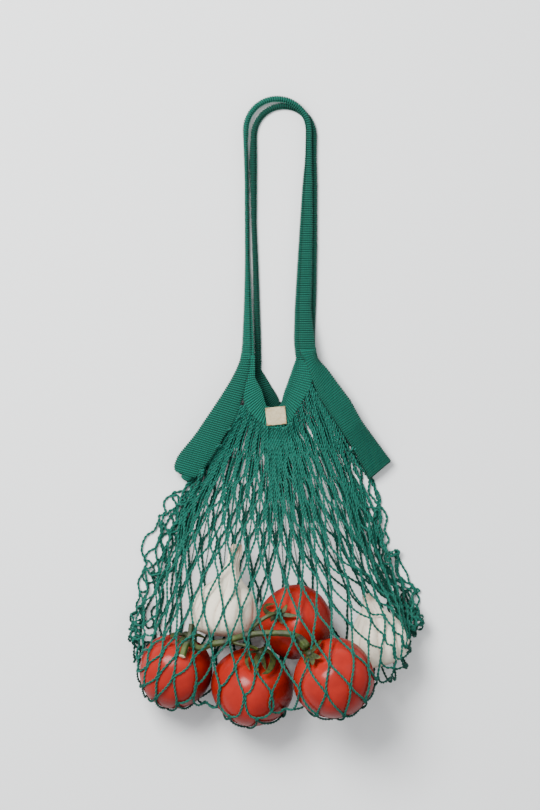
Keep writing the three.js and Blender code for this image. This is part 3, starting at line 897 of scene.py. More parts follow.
# %% The cord tree
def cord_tree():
    tree, given = new_tree("two_ply_cord", Radius=1.06 * CORD_RADIUS * MM, Step=1.45 * MM, Twist=8.5 * MM,
                           Ply_Size=0.62, Ply_Offset=0.5)
    line = add(tree, "GeometryNodeMeshToCurve", {"Mesh": given["Geometry"]})
    bowed = add(tree, "GeometryNodeCurveSplineType", {0: line.outputs[0]}, spline_type="CATMULL_ROM")
    route = add(tree, "GeometryNodeResampleCurve", {"Curve": bowed.outputs[0], "Length": given["Step"]},
                mode="LENGTH")
    far = add(tree, "GeometryNodeSplineParameter").outputs["Length"]
    turn = calc(tree, "MULTIPLY", calc(tree, "DIVIDE", far, given["Twist"]), 2 * math.pi)
    twisted = add(tree, "GeometryNodeSetCurveTilt", {"Curve": route.outputs[0], "Tilt": turn})
    size = calc(tree, "MULTIPLY", given["Radius"], given["Ply Size"])
    aside = calc(tree, "MULTIPLY", given["Radius"], given["Ply Offset"])
    both = tree.nodes.new("GeometryNodeJoinGeometry")
    for way in (1, -1):
        ply = add(tree, "GeometryNodeCurvePrimitiveCircle", {"Resolution": 5, "Radius": size})
        shift = add(tree, "ShaderNodeCombineXYZ", {0: calc(tree, "MULTIPLY", aside, way)})
        moved = add(tree, "GeometryNodeSetPosition", {"Geometry": ply.outputs[0], "Offset": shift.outputs[0]})
        tree.links.new(moved.outputs[0], both.inputs[0])
    thick = add(tree, "GeometryNodeInputNamedAttribute", {"Name": "thick"}, data_type="FLOAT")
    swept = add(tree, "GeometryNodeCurveToMesh", {"Curve": twisted.outputs[0],
                                                  "Profile Curve": both.outputs[0],
                                                  "Scale": thick.outputs[0], "Fill Caps": True})
    end_tree(tree, swept.outputs[0], given["Material"])
    return tree


def line_object(name, routes, **marks):
    """Bare lines, as the source of a tree, with the marks of each point."""
    points = np.vstack(routes)
    edges = []
    start = 0
    for route in routes:
        edges += [(i, i + 1) for i in range(start, start + len(route) - 1)]
        start += len(route)
    mesh = bpy.data.meshes.new(name)
    mesh.from_pydata((points * MM).tolist(), edges, [])
    for key, values in marks.items():
        mesh.attributes.new(key, "FLOAT", "POINT").data.foreach_set("value", list(values))
    return link(name, mesh)

# %% Make the net
two_ply_cord = cord_tree()
down = np.linspace(0, HALF_ROWS, len(whole_cords[0]) // 2)
thick = 1 + MOUTH_SWELL * near_mouth(np.concatenate([down, down[::-1]]))
# Painted shade: the cords of the far layer are painted darker, less so near the mouth; the near ones not at
# all.
far_deep = 1 - 0.8 * near_mouth(down)
deep = np.concatenate([down * 0, far_deep[::-1]])
shares = np.array_split(np.arange(RING), 3)
for name, share in zip(("left", "middle", "right"), shares):
    cords = [np.array(whole_cords[cord]) for cord in share]
    source = line_object(f"net_{name}_lines", cords, deep=list(deep) * len(cords),
                         thick=list(thick) * len(cords))
    finish_piece(grow(f"net_{name}", source, two_ply_cord, Material=cord_finish), "net",
                 *(["net_bag"] if name == "left" else []))
# The strands of the far layer get the same painted shade.
strand_deep = np.concatenate([(far_deep * (c > RING))[:len(s)] for c, s in zip(close_cords, strands)])
strand_thick = np.concatenate([STRAND_SIZE * near_mouth(down[:len(s)]) ** 0.5 for s in strands])
source = line_object("strand_lines", strands, deep=strand_deep, thick=strand_thick)
finish_piece(grow("net_close_knitting", source, two_ply_cord, Step=2.0 * MM, Twist=6.5 * MM,
                  Material=cord_finish), "net")

# %% [markdown]
# ## Knitted edging and straps
# The edging is one ribbed tape. Beside the mouth it lies flat and folds over at each end of the opening,
# and further up it is folded lengthwise into a strap. Each piece is a lofted strip whose stations follow
# the tape, and a Geometry Nodes tree raises a rib every two millimetres. A bump map alone would leave the
# edges straight, and here they are toothed by the ribs.

# %% Sections of the tape
FLAT_TAPE = [(-1, 0.5), (-0.97, 0.2), (-0.85, 0.04), (-0.5, 0), (0, 0), (0.5, 0), (0.85, 0.04), (0.97, 0.2),
             (1, 0.5), (0.97, 0.75), (0.85, 1), (0.5, 1.3), (0, 1.4), (-0.5, 1.3), (-0.85, 1), (-0.97, 0.75)]
FOLDED_TAPE = [(-1, 0.5), (-0.88, 0.14), (-0.5, 0), (0.1, 0), (0.7, 0.02), (0.95, 0.15), (1, 0.42),
               (0.92, 0.68), (0.74, 0.72), (0.56, 0.56), (0.36, 0.42), (-0.4, 0.47), (0.3, 0.55),
               (0.48, 0.72), (0.42, 0.93), (0.1, 1), (-0.5, 1), (-0.88, 0.86)]
STATION_STEP = RIB_PITCH / 6
LOWEST_TAPE = 0.9  # the ribs stand out below this


def evenly(stations, smoothing):
    """Stations (middle, half width, height, nine numbers) set a sixth of a rib apart and smoothed."""
    stations = np.array(stations, float)
    run = np.concatenate([[0], np.cumsum(np.linalg.norm(np.diff(stations[:, :3], axis=0), axis=1))])
    at = np.arange(0, run[-1], STATION_STEP)
    even = np.column_stack([np.interp(at, run, stations[:, k]) for k in range(9)])
    reach = int(smoothing / STATION_STEP)
    window = np.hanning(2 * reach + 3)[1:-1]
    ends = [2 * even[0] - even[reach:0:-1], even, 2 * even[-1] - even[-2:-reach - 2:-1]]
    padded = np.vstack(ends)
    smooth = np.column_stack([np.convolve(padded[:, k], window / window.sum(), "valid") for k in range(9)])
    return smooth, at


def tape_mesh(name, stations, section, smoothing=7, deep=0):
    """A strip whose points know how far along and across the tape they lie. `deep` sets each point's painted
    shade.
    """
    even, run = evenly(stations, smoothing)
    outline = np.array(section, float)
    middle, half_width, height = even[:, None, :3], even[:, None, 3:6], even[:, None, 6:]
    points = middle + half_width * outline[None, :, :1] + height * (outline[None, :, 1:] - 0.5)
    points[..., 2] = np.maximum(points[..., 2], LOWEST_TAPE)
    girth = np.linalg.norm(even[:, 3:6], axis=1)[:, None] * outline[None, :, 0]
    place = np.stack([np.broadcast_to(run[:, None], girth.shape), girth, girth * 0], axis=2)
    faces = rings_to_faces(len(even), len(section))
    ring, after = points[len(even) // 2], points[len(even) // 2 + 1]
    outward = np.cross(ring[1] - ring[0], after[0] - ring[0]) @ (ring[0] - ring.mean(0))
    if outward < 0:
        faces = [f[::-1] for f in faces]
    points = points.reshape(-1, 3)
    shade = deep(points) if callable(deep) else np.full(len(points), float(deep))
    return mesh_piece(name + "_plain", points, faces, tape=place.reshape(-1, 3), deep=shade)


# %% The rib tree
def rib_tree():
    tree, given = new_tree("knitted_ribs", Rib_Pitch=RIB_PITCH, Rib_Height=1.3 * MM, Unevenness=0.6 * MM,
                           Seed=3.0)
    place = add(tree, "GeometryNodeInputNamedAttribute", {"Name": "tape"}, data_type="FLOAT_VECTOR")
    split = add(tree, "ShaderNodeSeparateXYZ", {0: place.outputs[0]})
    turns = calc(tree, "DIVIDE", split.outputs[0], given["Rib Pitch"])
    ridge = calc(tree, "POWER", calc(tree, "ABSOLUTE", calc(tree, "SINE", calc(
        tree, "MULTIPLY", turns, math.pi))), 0.7)
    rise = calc(tree, "MULTIPLY", calc(tree, "SUBTRACT", ridge, 0.8), given["Rib Height"])
    noise = add(tree, "ShaderNodeTexNoise", {"Vector": place.outputs[0], "W": given["Seed"],
                                             "Scale": 0.35, "Detail": 1.0}, noise_dimensions="4D")
    uneven = calc(tree, "MULTIPLY", calc(tree, "SUBTRACT", noise.outputs[0], 0.5), given["Unevenness"])
    offset = add(tree, "ShaderNodeVectorMath", {0: add(tree, "GeometryNodeInputNormal").outputs[0],
                                                "Scale": calc(tree, "ADD", rise, uneven)},
                 operation="SCALE")
    raised = add(tree, "GeometryNodeSetPosition", {"Geometry": given["Geometry"],
                                                   "Offset": offset.outputs[0]})
    end_tree(tree, raised.outputs[0], given["Material"])
    return tree


knitted_ribs = rib_tree()

# %% [markdown]
# ### The two side bands
# Each runs down the near side of the mouth, round its end, and back up the far side, as one tape.

# %% Side bands
BAND_THICKNESS = 3
BACK_LAYER_Z = 0.2
FRONT_LAYER_Z = 15.2
SIDE_BANDS = {  # the outer and the inner edge, from the end of the mouth up
    "left": [((-88.3, -60.7), (-80, -64.6)), ((-93.2, -56.4), (-75, -61.5)),
             ((-94.9, -50.6), (-70.3, -57.5)), ((-92, -42), (-65, -50)), ((-86.9, -35), (-59.5, -42.3)),
             ((-79.1, -25.8), (-54, -34)), ((-72.2, -16.6), (-48.5, -24)), ((-66.2, -7.4), (-42, -14)),
             ((-59.8, 1.8), (-36.8, -5.5)), ((-53.8, 11), (-33.3, 5)), ((-47.8, 20.2), (-30.2, 15.5)),
             ((-42.3, 29.4), (-27.6, 26.5)), ((-37.3, 38.6), (-24.6, 37)),
             ((-33.6, 47.8), (-23.5, 47.8)), ((-32, 54), (-23.2, 54))],
    "right": [((103.5, -42.3), (84, -59)), ((90.8, -24.4), (74, -39)), ((79.1, -8.3), (62, -19.5)),
              ((68.5, 11), (50, -1.5)), ((56.4, 27.2), (40.5, 12.5)), ((47.3, 39.8), (35.3, 24)),
              ((40.5, 46.9), (32.5, 35)), ((37.4, 52), (26, 47)), ((36.8, 58), (22, 57))],
}
TIP_HEIGHTS = {"left": 9, "right": 8}
BAND_RISE = 45  # how far up the band its near layer reaches its full height
FOLD_STEPS = 10


def station(outer, inner, z, normal, thickness):
    """One station of a tape: its middle, half its width and its height, as vectors."""
    outer, inner = np.array([*outer, z], float), np.array([*inner, z], float)
    return [*(outer + inner) / 2, *(outer - inner) / 2, *np.array(normal) * thickness]


def side_band(edges, tip_z):
    """Stations from the top of the near layer, round the end of the mouth, to the top of the far one."""
    half = BAND_THICKNESS / 2
    low = BACK_LAYER_Z + half
    radius = (tip_z + half - low) / 2
    end = np.subtract(edges[0][1], edges[0][0])
    inward = unit((-end[1], end[0]))
    start = [np.array(p) + inward * (radius + half) for p in edges[0]]
    rise = [min(1, np.linalg.norm(np.subtract(pair[0], edges[0][0])) / BAND_RISE) for pair in edges]
    route = [(*pair, tip_z + half + (FRONT_LAYER_Z - tip_z) * share)
             for pair, share in zip(edges, rise) if share]
    stations = [station(a, b, z, (0, 0, 1), BAND_THICKNESS) for a, b, z in route[::-1]]
    for step in range(FOLD_STEPS + 1):
        turn = math.pi * step / FOLD_STEPS
        out = inward * -radius * math.sin(turn)
        normal = (-inward[0] * math.sin(turn), -inward[1] * math.sin(turn), math.cos(turn))
        z = low + radius * (1 + math.cos(turn))
        stations.append(station(start[0] + out, start[1] + out, z, normal, BAND_THICKNESS))
    stations += [station(a, b, low, (0, 0, -1), BAND_THICKNESS) for a, b, _ in route]
    return stations


# Painted shade: each side band is painted darker below the end of the mouth, and the left one a little all
# over.
LEAST_SHADE = {"left": 0.2, "right": 0}
SHADE_DEPTH = 4  # millimetres below the end of the mouth, where the far layer is fully in shade

for side, edges in SIDE_BANDS.items():
    tip_z = TIP_HEIGHTS[side]
    plain = tape_mesh(f"edging_{side}", side_band(edges, tip_z), FLAT_TAPE, smoothing=4,
                      deep=lambda points: np.clip((tip_z - points[:, 2]) / SHADE_DEPTH, LEAST_SHADE[side], 1))
    band = grow(f"edging_{side}", plain, knitted_ribs, Material=tape_finish)
    finish_piece(band, "edging", f"band_{side}")

# %% [markdown]
# ### The bands of the V
# The near and far edge of the mouth dip in a V between the straps.

# %% V bands
MOUTH_BANDS = {  # the edge at the opening and the edge at the net
    "front": [((-19.3, 52), (-24, 52)), ((-19.3, 42), (-24.8, 42)), ((-19.3, 31.9), (-26.6, 31)),
              ((-16.6, 27), (-29.5, 22)), ((-13.5, 21.4), (-30.6, 11.5)), ((-11, 12.9), (-24.8, 0)),
              ((-9, 5.6), (-17, -8)), ((-3.7, 4.4), (-7, -14)), ((1.8, 5.1), (7, -14)),
              ((4.9, 8), (14.5, -9)), ((5.9, 13.5), (19.5, 1)), ((7.6, 19.6), (25, 10)),
              ((10.4, 27), (31, 20)), ((12.9, 34.3), (34.5, 30)), ((15.9, 43), (33, 42)),
              ((18.7, 50), (28, 52))],
    "back": [((-12.9, 48), (-21.8, 48)), ((-14.4, 40.5), (-23.4, 38)), ((-8.6, 31.5), (-26.5, 27)),
             ((-2.9, 22), (-29.2, 13.4)), ((1.6, 14.5), (-20, -4.2)), ((3.4, 9.2), (-9, -13.4)),
             ((5.5, 9.6), (13, -12)), ((7.4, 12.5), (18.8, -0.4)), ((10.2, 19.5), (26.5, 12.2)),
             ((14.5, 33.4), (31.8, 25.6)), ((19, 48), (32.6, 47))],
}
ROLLED_TAPE = [(-1, 0.4), (-0.97, 0.15), (-0.8, 0.02), (-0.3, 0), (0.3, 0), (0.8, 0.02), (0.97, 0.15),
               (1, 0.45), (0.98, 0.85), (0.88, 1), (0.7, 0.95), (0.6, 0.75), (0.3, 0.7), (-0.3, 0.7),
               (-0.8, 0.72), (-0.95, 0.66)]
STRETCHED_RIB = 0.9

# Painted shade: the far V band is painted darker.
for side, z, deep in (("front", FRONT_LAYER_Z, 0), ("back", BACK_LAYER_Z, 0.8)):
    stations = [station(a, b, z + BAND_THICKNESS / 2, (0, 0, 1), BAND_THICKNESS)
                for a, b in MOUTH_BANDS[side]]
    plain = tape_mesh(f"edging_{side}", stations, ROLLED_TAPE, smoothing=3, deep=deep)
    band = grow(f"edging_{side}", plain, knitted_ribs, Rib_Height=STRETCHED_RIB * MM, Material=tape_finish)
    finish_piece(band, "edging", f"band_{side}")

# %% [markdown]
# ### The straps
# Each strap leaves one side of the V, narrows as it folds lengthwise, and turns over at the top.

# %% Straps
STRAPS = {  # each leg: y, left edge, right edge, underside, height
    "front": dict(bend=(1.1, 261, 29.2), bend_width=6, bend_z=5.6,
                  left=[(49, -33, -19.6, 15.5, 3), (62, -31.5, -20, 13.5, 4), (103, -29.8, -22.4, 4, 6),
                        (142, -29, -24.2, 0.2, 8), (215, -29.2, -25.2, 0.2, 8), (250, -30.4, -25.9, 3, 7)],
                  right=[(48, 18.2, 38.6, 15.6, 3), (64, 16.2, 36.2, 13.8, 3), (95, 17, 32.8, 7.6, 4),
                         (131, 19.1, 33.8, 5.6, 4), (181, 22.3, 34.3, 5.6, 4), (209, 24.1, 34, 5.6, 4.5),
                         (236, 26.8, 33.4, 5.6, 5)]),
    "back": dict(bend=(7.3, 256, 27.9), bend_width=6.4, bend_z=0.2,
                 left=[(38, -20, -13.4, 0.5, 3), (62, -20.2, -13.5, 0.3, 4), (131, -21.7, -15.9, 0.2, 5),
                       (172, -23, -17.7, 0.2, 5), (232, -24.8, -17.2, 0.2, 5)],
                 right=[(42, 24, 35.6, 0.5, 3), (112, 27.6, 37.9, 0.2, 4.6), (154, 30.4, 38.5, 0.2, 4.6),
                        (209, 31, 38.6, 0.2, 4.6), (236, 31.4, 38, 0.2, 4.6)]),
}
BEND_STEPS = 16
BEND_HEIGHT = 4.6


def strap_stations(strap):
    """Up the left leg, over the bend and down the right one, with the inner edge first."""
    def leg(y, left, right, z, height, inner_is_right):
        inner, outer = (right, left) if inner_is_right else (left, right)
        return station((inner, y), (outer, y), z + height / 2, (0, 0, 1), height)
    x, y, radius = strap["bend"]
    half = strap["bend_width"] / 2
    stations = [leg(*row, True) for row in strap["left"]]
    for step in range(BEND_STEPS + 1):
        turn = math.pi * (1 - step / BEND_STEPS)
        edges = [(x + r * math.cos(turn), y + r * math.sin(turn)) for r in (radius - half, radius + half)]
        stations.append(station(*edges, strap["bend_z"] + BEND_HEIGHT / 2, (0, 0, 1), BEND_HEIGHT))
    return stations + [leg(*row, False) for row in strap["right"][::-1]]


def strap_shade(points):
    """Painted shade: the right leg of the near strap is painted a little darker."""
    return np.clip(points[:, 0] / 60, 0.05, 0.35)


# Painted shade: the far strap is painted darker all over, the near one by strap_shade.
for side, strap in STRAPS.items():
    plain = tape_mesh(f"strap_{side}", strap_stations(strap), FOLDED_TAPE,
                      deep=0.8 if side == "back" else strap_shade)
    piece = grow(f"strap_{side}", plain, knitted_ribs, Material=tape_finish)
    finish_piece(piece, "edging", f"handle_{side}")

# %% [markdown]
# ## The label
# A small woven label, sewn down at its corners. It is bare.

# %% Label finish
THREAD_PITCH = 0.55


def weave(tree):
    """Threads that cross over and under."""
    place = add(tree, "ShaderNodeSeparateXYZ", {0: add(tree, "ShaderNodeTexCoord").outputs["Object"]})
    threads = [calc(tree, "SINE", calc(tree, "MULTIPLY", place.outputs[k], 2 * math.pi / (THREAD_PITCH * MM)))
               for k in (0, 1)]
    return calc(tree, "MULTIPLY", *threads)


label_finish = new_material("woven_label", (0.52, 0.42, 0.25), (0.66, 0.56, 0.37),
                            grain(2.5, contrast=(0.3, 0.7)), 0.85, bump=weave, bump_depth=0.12,
                            Specular_IOR_Level=0.2)
stitch_finish = new_material("tan_stitch", (0.30, 0.17, 0.07), (0.45, 0.28, 0.13), grain(0.5), 0.8,
                             Specular_IOR_Level=0.2)

# %% Label
LABEL_SIZE = (18.4, 16.5)
LABEL_CENTRE = (0, -3.7)
LABEL_TURN = 0.1
LABEL_Z = FRONT_LAYER_Z + BAND_THICKNESS + 0.3
LABEL_CELLS = 24


def on_label(u, v):
    """A place on the label, from its middle, with its slight turn."""
    c, s = math.cos(LABEL_TURN), math.sin(LABEL_TURN)
    return LABEL_CENTRE[0] + c * u - s * v, LABEL_CENTRE[1] + s * u + c * v


def label_mesh():
    """A thin closed sheet with soft edges that waves slightly between its stitched corners."""
    n = LABEL_CELLS
    points = []
    for top in (0, 1):
        for i in range(n + 1):
            for j in range(n + 1):
                a, b = 2 * i / n - 1, 2 * j / n - 1
                edge = max(abs(a), abs(b)) ** 12
                ripple = 0.22 * math.sin(2.3 * a + 0.6) * (1 - b * b) + 0.15 * math.cos(3 * b)
                lift = 0.25 + (0.65 - 0.3 * edge if top else 0.25 * edge) + ripple * 0.6
                x, y = on_label(a * LABEL_SIZE[0] / 2, b * LABEL_SIZE[1] / 2)
                points.append((x, y, LABEL_Z + lift))
    def at(top, i, j):
        return (top * (n + 1) + i) * (n + 1) + j
    faces = []
    for i in range(n):
        for j in range(n):
            faces.append((at(1, i, j), at(1, i + 1, j), at(1, i + 1, j + 1), at(1, i, j + 1)))
            faces.append((at(0, i, j + 1), at(0, i + 1, j + 1), at(0, i + 1, j), at(0, i, j)))
        faces.append((at(0, i, 0), at(0, i + 1, 0), at(1, i + 1, 0), at(1, i, 0)))
        faces.append((at(1, i, n), at(1, i + 1, n), at(0, i + 1, n), at(0, i, n)))
        faces.append((at(0, 0, i + 1), at(0, 0, i), at(1, 0, i), at(1, 0, i + 1)))
        faces.append((at(1, n, i + 1), at(1, n, i), at(0, n, i), at(0, n, i + 1)))
    return mesh_piece("label_cloth", points, faces, label_finish)


label = label_mesh()
finish_piece(label, "label", "label")

# %% Stitches at the label's corners
STITCH_PLACES = ((1.4, 0.5, (0.95, 0)), (3.2, 0.5, (0.95, 0)), (0.5, 1.7, (0, 0.95)))  # in from a corner
STITCH_RADIUS = 0.3
STITCH_SIDES = 6


def stitch(u, v, reach):
    """One short arch of thread, from under the label over to the edging."""
    arch = [(*on_label(u + way * reach[0], v + way * reach[1]), LABEL_Z + lift)
            for way, lift in ((-1, 0.5), (0, 1.25), (1, 0.5))]
    return (*tube(smooth_route(arch, 0.4), STITCH_RADIUS, STITCH_SIDES, seed_up=(0.3, 0.2, 1)), [])


corners = [(x, y) for x in (-1, 1) for y in (-1, 1)]
points, faces, _ = joined(stitch(x * (LABEL_SIZE[0] / 2 - a), y * (LABEL_SIZE[1] / 2 - b), reach)
                          for x, y in corners for a, b, reach in STITCH_PLACES)
finish_piece(mesh_piece("label_stitches", points, faces, stitch_finish), "label")

# %% [markdown]
# ## Tomatoes
# A tomato is a squashed ball with a dip at its stalk and shallow lobes. It is one closed skin from a
# formula, the same as the solid's, but with fine rings.

# %% Tomato skin
# The side that the painted light comes from; the skin away from it is painted darker.
PAINTED_LIGHT_SIDE = (-0.35, 0.3, 0.89)


def skin_red_and_shade(tree):
    """Painted shade: darker red below and on the side away from the light. Paler and more orange near the
    stalk.
    """
    patches = calc(tree, "MULTIPLY_ADD", grain(16, detail=2, contrast=(0.35, 0.7))(tree), 0.3, 0.55)
    shoulder = add(tree, "ShaderNodeMapRange", {"Value": mark(tree, "fall"), "From Min": 0.1,
                                                "From Max": 0.9, "To Min": 0.3, "To Max": 0.0}).outputs[0]
    return calc(tree, "MULTIPLY", calc(tree, "ADD", patches, shoulder), mark(tree, "sunny"))


# The dark red is painted shade, below and on the side away from the light.
tomato_skin = new_material("tomato_skin", (0.11, 0.0045, 0.004), (0.385, 0.020, 0.0115), skin_red_and_shade, 0.5,
                           bump=grain(7, detail=2), bump_depth=0.25, Specular_IOR_Level=0.0,
                           Coat_Weight=0.36, Coat_Roughness=0.22, Coat_IOR=1.45)

# %% Tomato shape
TOMATO_RINGS = 64
TOMATO_SIDES = 96
FIRST_RING = 0.02
BLOSSOM_END = (0.12, 0.9)  # how wide it is, as an angle, and how deep its dimple


def skin_point(tomato, fall, around):
    """A point of the skin before it is turned: `fall` runs from the stalk to the blossom end."""
    shoulder = np.exp(-((fall / SHOULDER_SPREAD) ** 2))
    lobes = np.sin(fall) ** 2 * LOBE_DEPTH * np.cos(tomato["lobes"] * around + tomato["turn"])
    radius = tomato["across"] / 2 * (np.sin(fall) + lobes)
    height = tomato["tall"] / 2 * (np.cos(fall) - SHOULDER_DIP * shoulder) + 0 * around
    return np.stack([radius * np.cos(around), radius * np.sin(around), height], axis=-1)


def tomato_mesh(name, tomato):
    falls = np.linspace(FIRST_RING, math.pi - FIRST_RING, TOMATO_RINGS)
    arounds = 2 * math.pi * np.arange(TOMATO_SIDES) / TOMATO_SIDES
    grid = skin_point(tomato, falls[:, None], arounds[None, :])
    dimple = np.exp(-((math.pi - falls) / BLOSSOM_END[0]) ** 2)[:, None]
    grid[..., 2] += dimple * BLOSSOM_END[1]
    points = stood_along(grid.reshape(-1, 3), tomato["stalk"], tomato["at"])
    fall = np.repeat(falls, TOMATO_SIDES)
    faces = [f[::-1] for f in rings_to_faces(TOMATO_RINGS, TOMATO_SIDES)]
    # Painted shade, from how far each point faces away from the light.
    sunny = np.clip(0.25 + 0.95 * (unit(points - np.array(tomato["at"])) @ unit(PAINTED_LIGHT_SIDE)), 0, 1)
    return mesh_piece(name, points, faces, tomato_skin, fall=fall, sunny=sunny)


for name, tomato in TOMATOES.items():
    finish_piece(tomato_mesh(f"vine_tomato_{name}", tomato), "tomato", f"tomato_{name}")

# %% [markdown]
# ## Calyxes
# Each tomato keeps its green star: narrow pointed leaves that start flat on the shoulder and curl up
# towards their tips. Each leaf is a thin closed strip with a raised middle rib.

# %% Leaf finish
def leaf_shade(tree):
    """Dark and brownish at the foot, in places paler towards the tip."""
    paler = calc(tree, "MULTIPLY_ADD", mark(tree, "tip"), 0.7, 0.25)
    return calc(tree, "MULTIPLY", paler, grain(3, contrast=(0.3, 0.62))(tree))


leaf_finish = new_material("calyx_green", (0.008, 0.011, 0.0025), (0.06, 0.08, 0.012),
                           leaf_shade, 0.5, bump=grain(0.8), bump_depth=0.3,
                           Specular_IOR_Level=0.3)

# %% Calyx shape
SEPAL_STEP = 1.2
SEPALS = {  # half width, then the way of the leaf seen from above: x, y and how far it stands off the skin
    "left": [(3.2, [(-83, -205, 1), (-88, -205, 1.5), (-92, -204, 2), (-96.6, -207, 1)]),
             (3.8, [(-82, -205.5, 1), (-77, -206, 2), (-71.8, -205.6, 2), (-64.4, -207.9, 0.6)]),
             (2.2, [(-83, -206, 1), (-86.5, -208.5, 1.5), (-90.2, -211.6, 3)]),
             (2.2, [(-82, -206, 1), (-77.5, -208.5, 1.5), (-72.7, -211.6, 3)])],
    "centre": [(1.9, [(-15, -220.5, 2), (-21, -219.5, 3), (-25.8, -222, 3), (-26.7, -228.2, 2),
                      (-23.9, -235, 3.5)]),
               (2.5, [(-15, -221, 2), (-17.9, -226, 2), (-18.4, -231, 1.5), (-16.3, -236.4, 4)]),
               (3.3, [(-14, -220, 2), (-8, -219.5, 4), (-3.9, -223, 5), (-3.9, -230, 4), (-7.6, -236.4, 3.5),
                      (-12.9, -238.5, 5)]),
               (2.6, [(-14, -221, 2), (-12.4, -226, 1.5), (-11, -231, 1), (-9.4, -235, 1)]),
               (2.2, [(-14, -220, 2), (-11, -216.5, 2), (-7.4, -214.4, 2)])],
    "right": [(3.0, [(31.5, -218.5, 2), (34.5, -215.5, 3), (38, -211.5, 3), (41, -207.5, 1)]),
              (2.6, [(32, -219.5, 2), (35, -221, 2), (38.5, -222, 2.5), (41.5, -221, 3)]),
              (2.8, [(31.5, -220, 2), (32.8, -223, 2), (33.6, -226, 2.5), (33, -229, 3.5)]),
              (2.4, [(30.5, -220, 2), (28.5, -222.5, 2), (27, -225, 3), (26.5, -227.5, 4)]),
              (2.2, [(30, -219, 2), (27, -218.2, 3), (23.5, -219.2, 3)])],
    "back": [(2.2, [(0.5, -184, 2), (-5, -184.5, 3), (-9.5, -181.5, 4), (-8.8, -177.5, 4), (-1, -175.3, 2)]),
             (2.2, [(3, -184, 2), (8, -185, 2), (13, -185.5, 2), (19.3, -185.5, 3)]),
             (2.4, [(3, -183, 2), (7.4, -181, 3), (10, -175.7, 3)]),
             (2.6, [(2, -185, 2), (4.4, -188.5, 2), (6.4, -193.2, 4)]),
             (2.6, [(1, -185, 2), (-2, -188, 2), (-4.6, -191.4, 4)])],
}
HUB_RADIUS = 4.2
HUB_OUTLINE = ((-1.5, 0.9), (0.5, 1), (2, 0.95), (3.4, 0.75), (4.2, 0.4))  # height, share of its radius
HUB_SIDES = 14
SEPAL_OUTLINE = ([0, 0.15, 0.4, 0.7, 0.9, 1], [0.75, 0.95, 1, 0.85, 0.5, 0.1])
SEPAL_SECTION = [(-1, 0.75), (-0.6, 0.05), (0, -0.3), (0.6, 0.05), (1, 0.75), (0.7, 0.85), (0, 0.55),
                 (-0.7, 0.85)]


def skin_height(tomato, x, y):
    """How high the top of the tomato is at a place seen from above."""
    middle = np.array(tomato["at"])
    radius = tomato["across"] / 2
    return middle[2] + math.sqrt(max(radius ** 2 - (x - middle[0]) ** 2 - (y - middle[1]) ** 2, 25))


def sepal(tomato, half_width, way):
    """A leaf's points, its faces and how near its tip each point lies."""
    route = smooth_route([(x, y, skin_height(tomato, x, y) + lift) for x, y, lift in way], SEPAL_STEP)
    share = np.linspace(0, 1, len(route))
    along = unit(np.gradient(route, axis=0))
    out = unit(route - np.array(tomato["at"]))
    across = unit(np.cross(along, out))
    out = np.cross(across, along)
    width = half_width * np.interp(share, *SEPAL_OUTLINE)
    section = np.array(SEPAL_SECTION)
    rings = route[:, None] + across[:, None] * section[None, :, :1] * width[:, None, None]
    rings += out[:, None] * section[None, :, 1:] * (0.5 + 0.45 * width[:, None, None])
    faces = rings_to_faces(len(rings), len(section))
    return rings.reshape(-1, 3), faces, np.repeat(share, len(section))


def hub(tomato, leaves):
    """The low button in the middle of the star, where its leaves meet."""
    foot = np.mean([way[0][:2] for _, way in leaves], axis=0)
    base = np.array([*foot, skin_height(tomato, *foot)])
    out = unit(base - np.array(tomato["at"]))
    heights, shares = np.array(HUB_OUTLINE).T
    points, faces = tube([base + out * height for height in heights], HUB_RADIUS * shares, HUB_SIDES,
                         seed_up=(0.3, 1, 0.2))
    return points, faces, np.zeros(len(points))


def calyx_mesh(name, tomato, leaves):
    parts = [sepal(tomato, half_width, way) for half_width, way in leaves]
    points, faces, tips = joined([*parts, hub(tomato, leaves)])
    return mesh_piece(name, points, faces, leaf_finish, tip=tips)


for name, tomato in TOMATOES.items():
    finish_piece(calyx_mesh(f"star_{name}", tomato, SEPALS[name]), "vine", f"calyx_{name}")

# %% [markdown]
# ## The vine
# The stem is thicker at its knuckles, furrowed lengthwise and pale where it was cut.

# %% Stem finish
def stem_mask(tree):
    """Green where the stem is fresh, brown at its knuckles."""
    return calc(tree, "MULTIPLY", mark(tree, "fresh"), grain(9, contrast=(0.2, 0.65))(tree))


stem_finish = new_material("vine_green", (0.010, 0.012, 0.003), (0.055, 0.082, 0.012), stem_mask, 0.5,
                           bump=grain(0.9, stretch=(0.4, 1, 1)), bump_depth=0.35, Specular_IOR_Level=0.35)
cut_finish = new_material("stem_cut", (0.55, 0.42, 0.22), (0.75, 0.66, 0.45), grain(1.5), 0.8)

# %% Stem shape
STEM_SIDES = 30
KNUCKLES = [(-45.1, -209.8, 65), (-26.7, -203.3, 73), (-80.5, -210, 67), (22, -207, 86)]
WIDE_END = (26, -212, 91.5)
FURROWS = 5
STEM_STEP = 0.9


def stem_part(radius, green, points):
    """One furrowed stem, with how fresh each of its points is."""
    route = smooth_route(points, STEM_STEP)
    swell = np.zeros(len(route))
    for knuckle in KNUCKLES:
        far = np.linalg.norm(route - np.array(knuckle), axis=1)
        swell = np.maximum(swell, np.exp(-((far / 4.5) ** 2)))
    end = 0.45 * np.exp(-((np.linalg.norm(route - np.array(WIDE_END), axis=1) / 8) ** 2))
    run = np.arange(len(route))
    ribs = np.cos(FURROWS * 2 * math.pi * np.arange(STEM_SIDES) / STEM_SIDES)
    furrow = ribs[None, :] * (0.08 + 0.3 * end[:, None])
    lumps = 0.04 * np.sin(run * 0.31) + 0.03 * np.sin(run * 0.83 + 1)
    radii = radius * (1 + (0.22 * swell + end)[:, None] + furrow + lumps[:, None])
    fresh = green * np.clip(1.1 - 1.2 * swell + 0.3 * np.sin(run * 0.11), 0, 1)
    return (*tube(route, radii, STEM_SIDES, seed_up=(0.1, 0.05, 1)), np.repeat(fresh, STEM_SIDES))


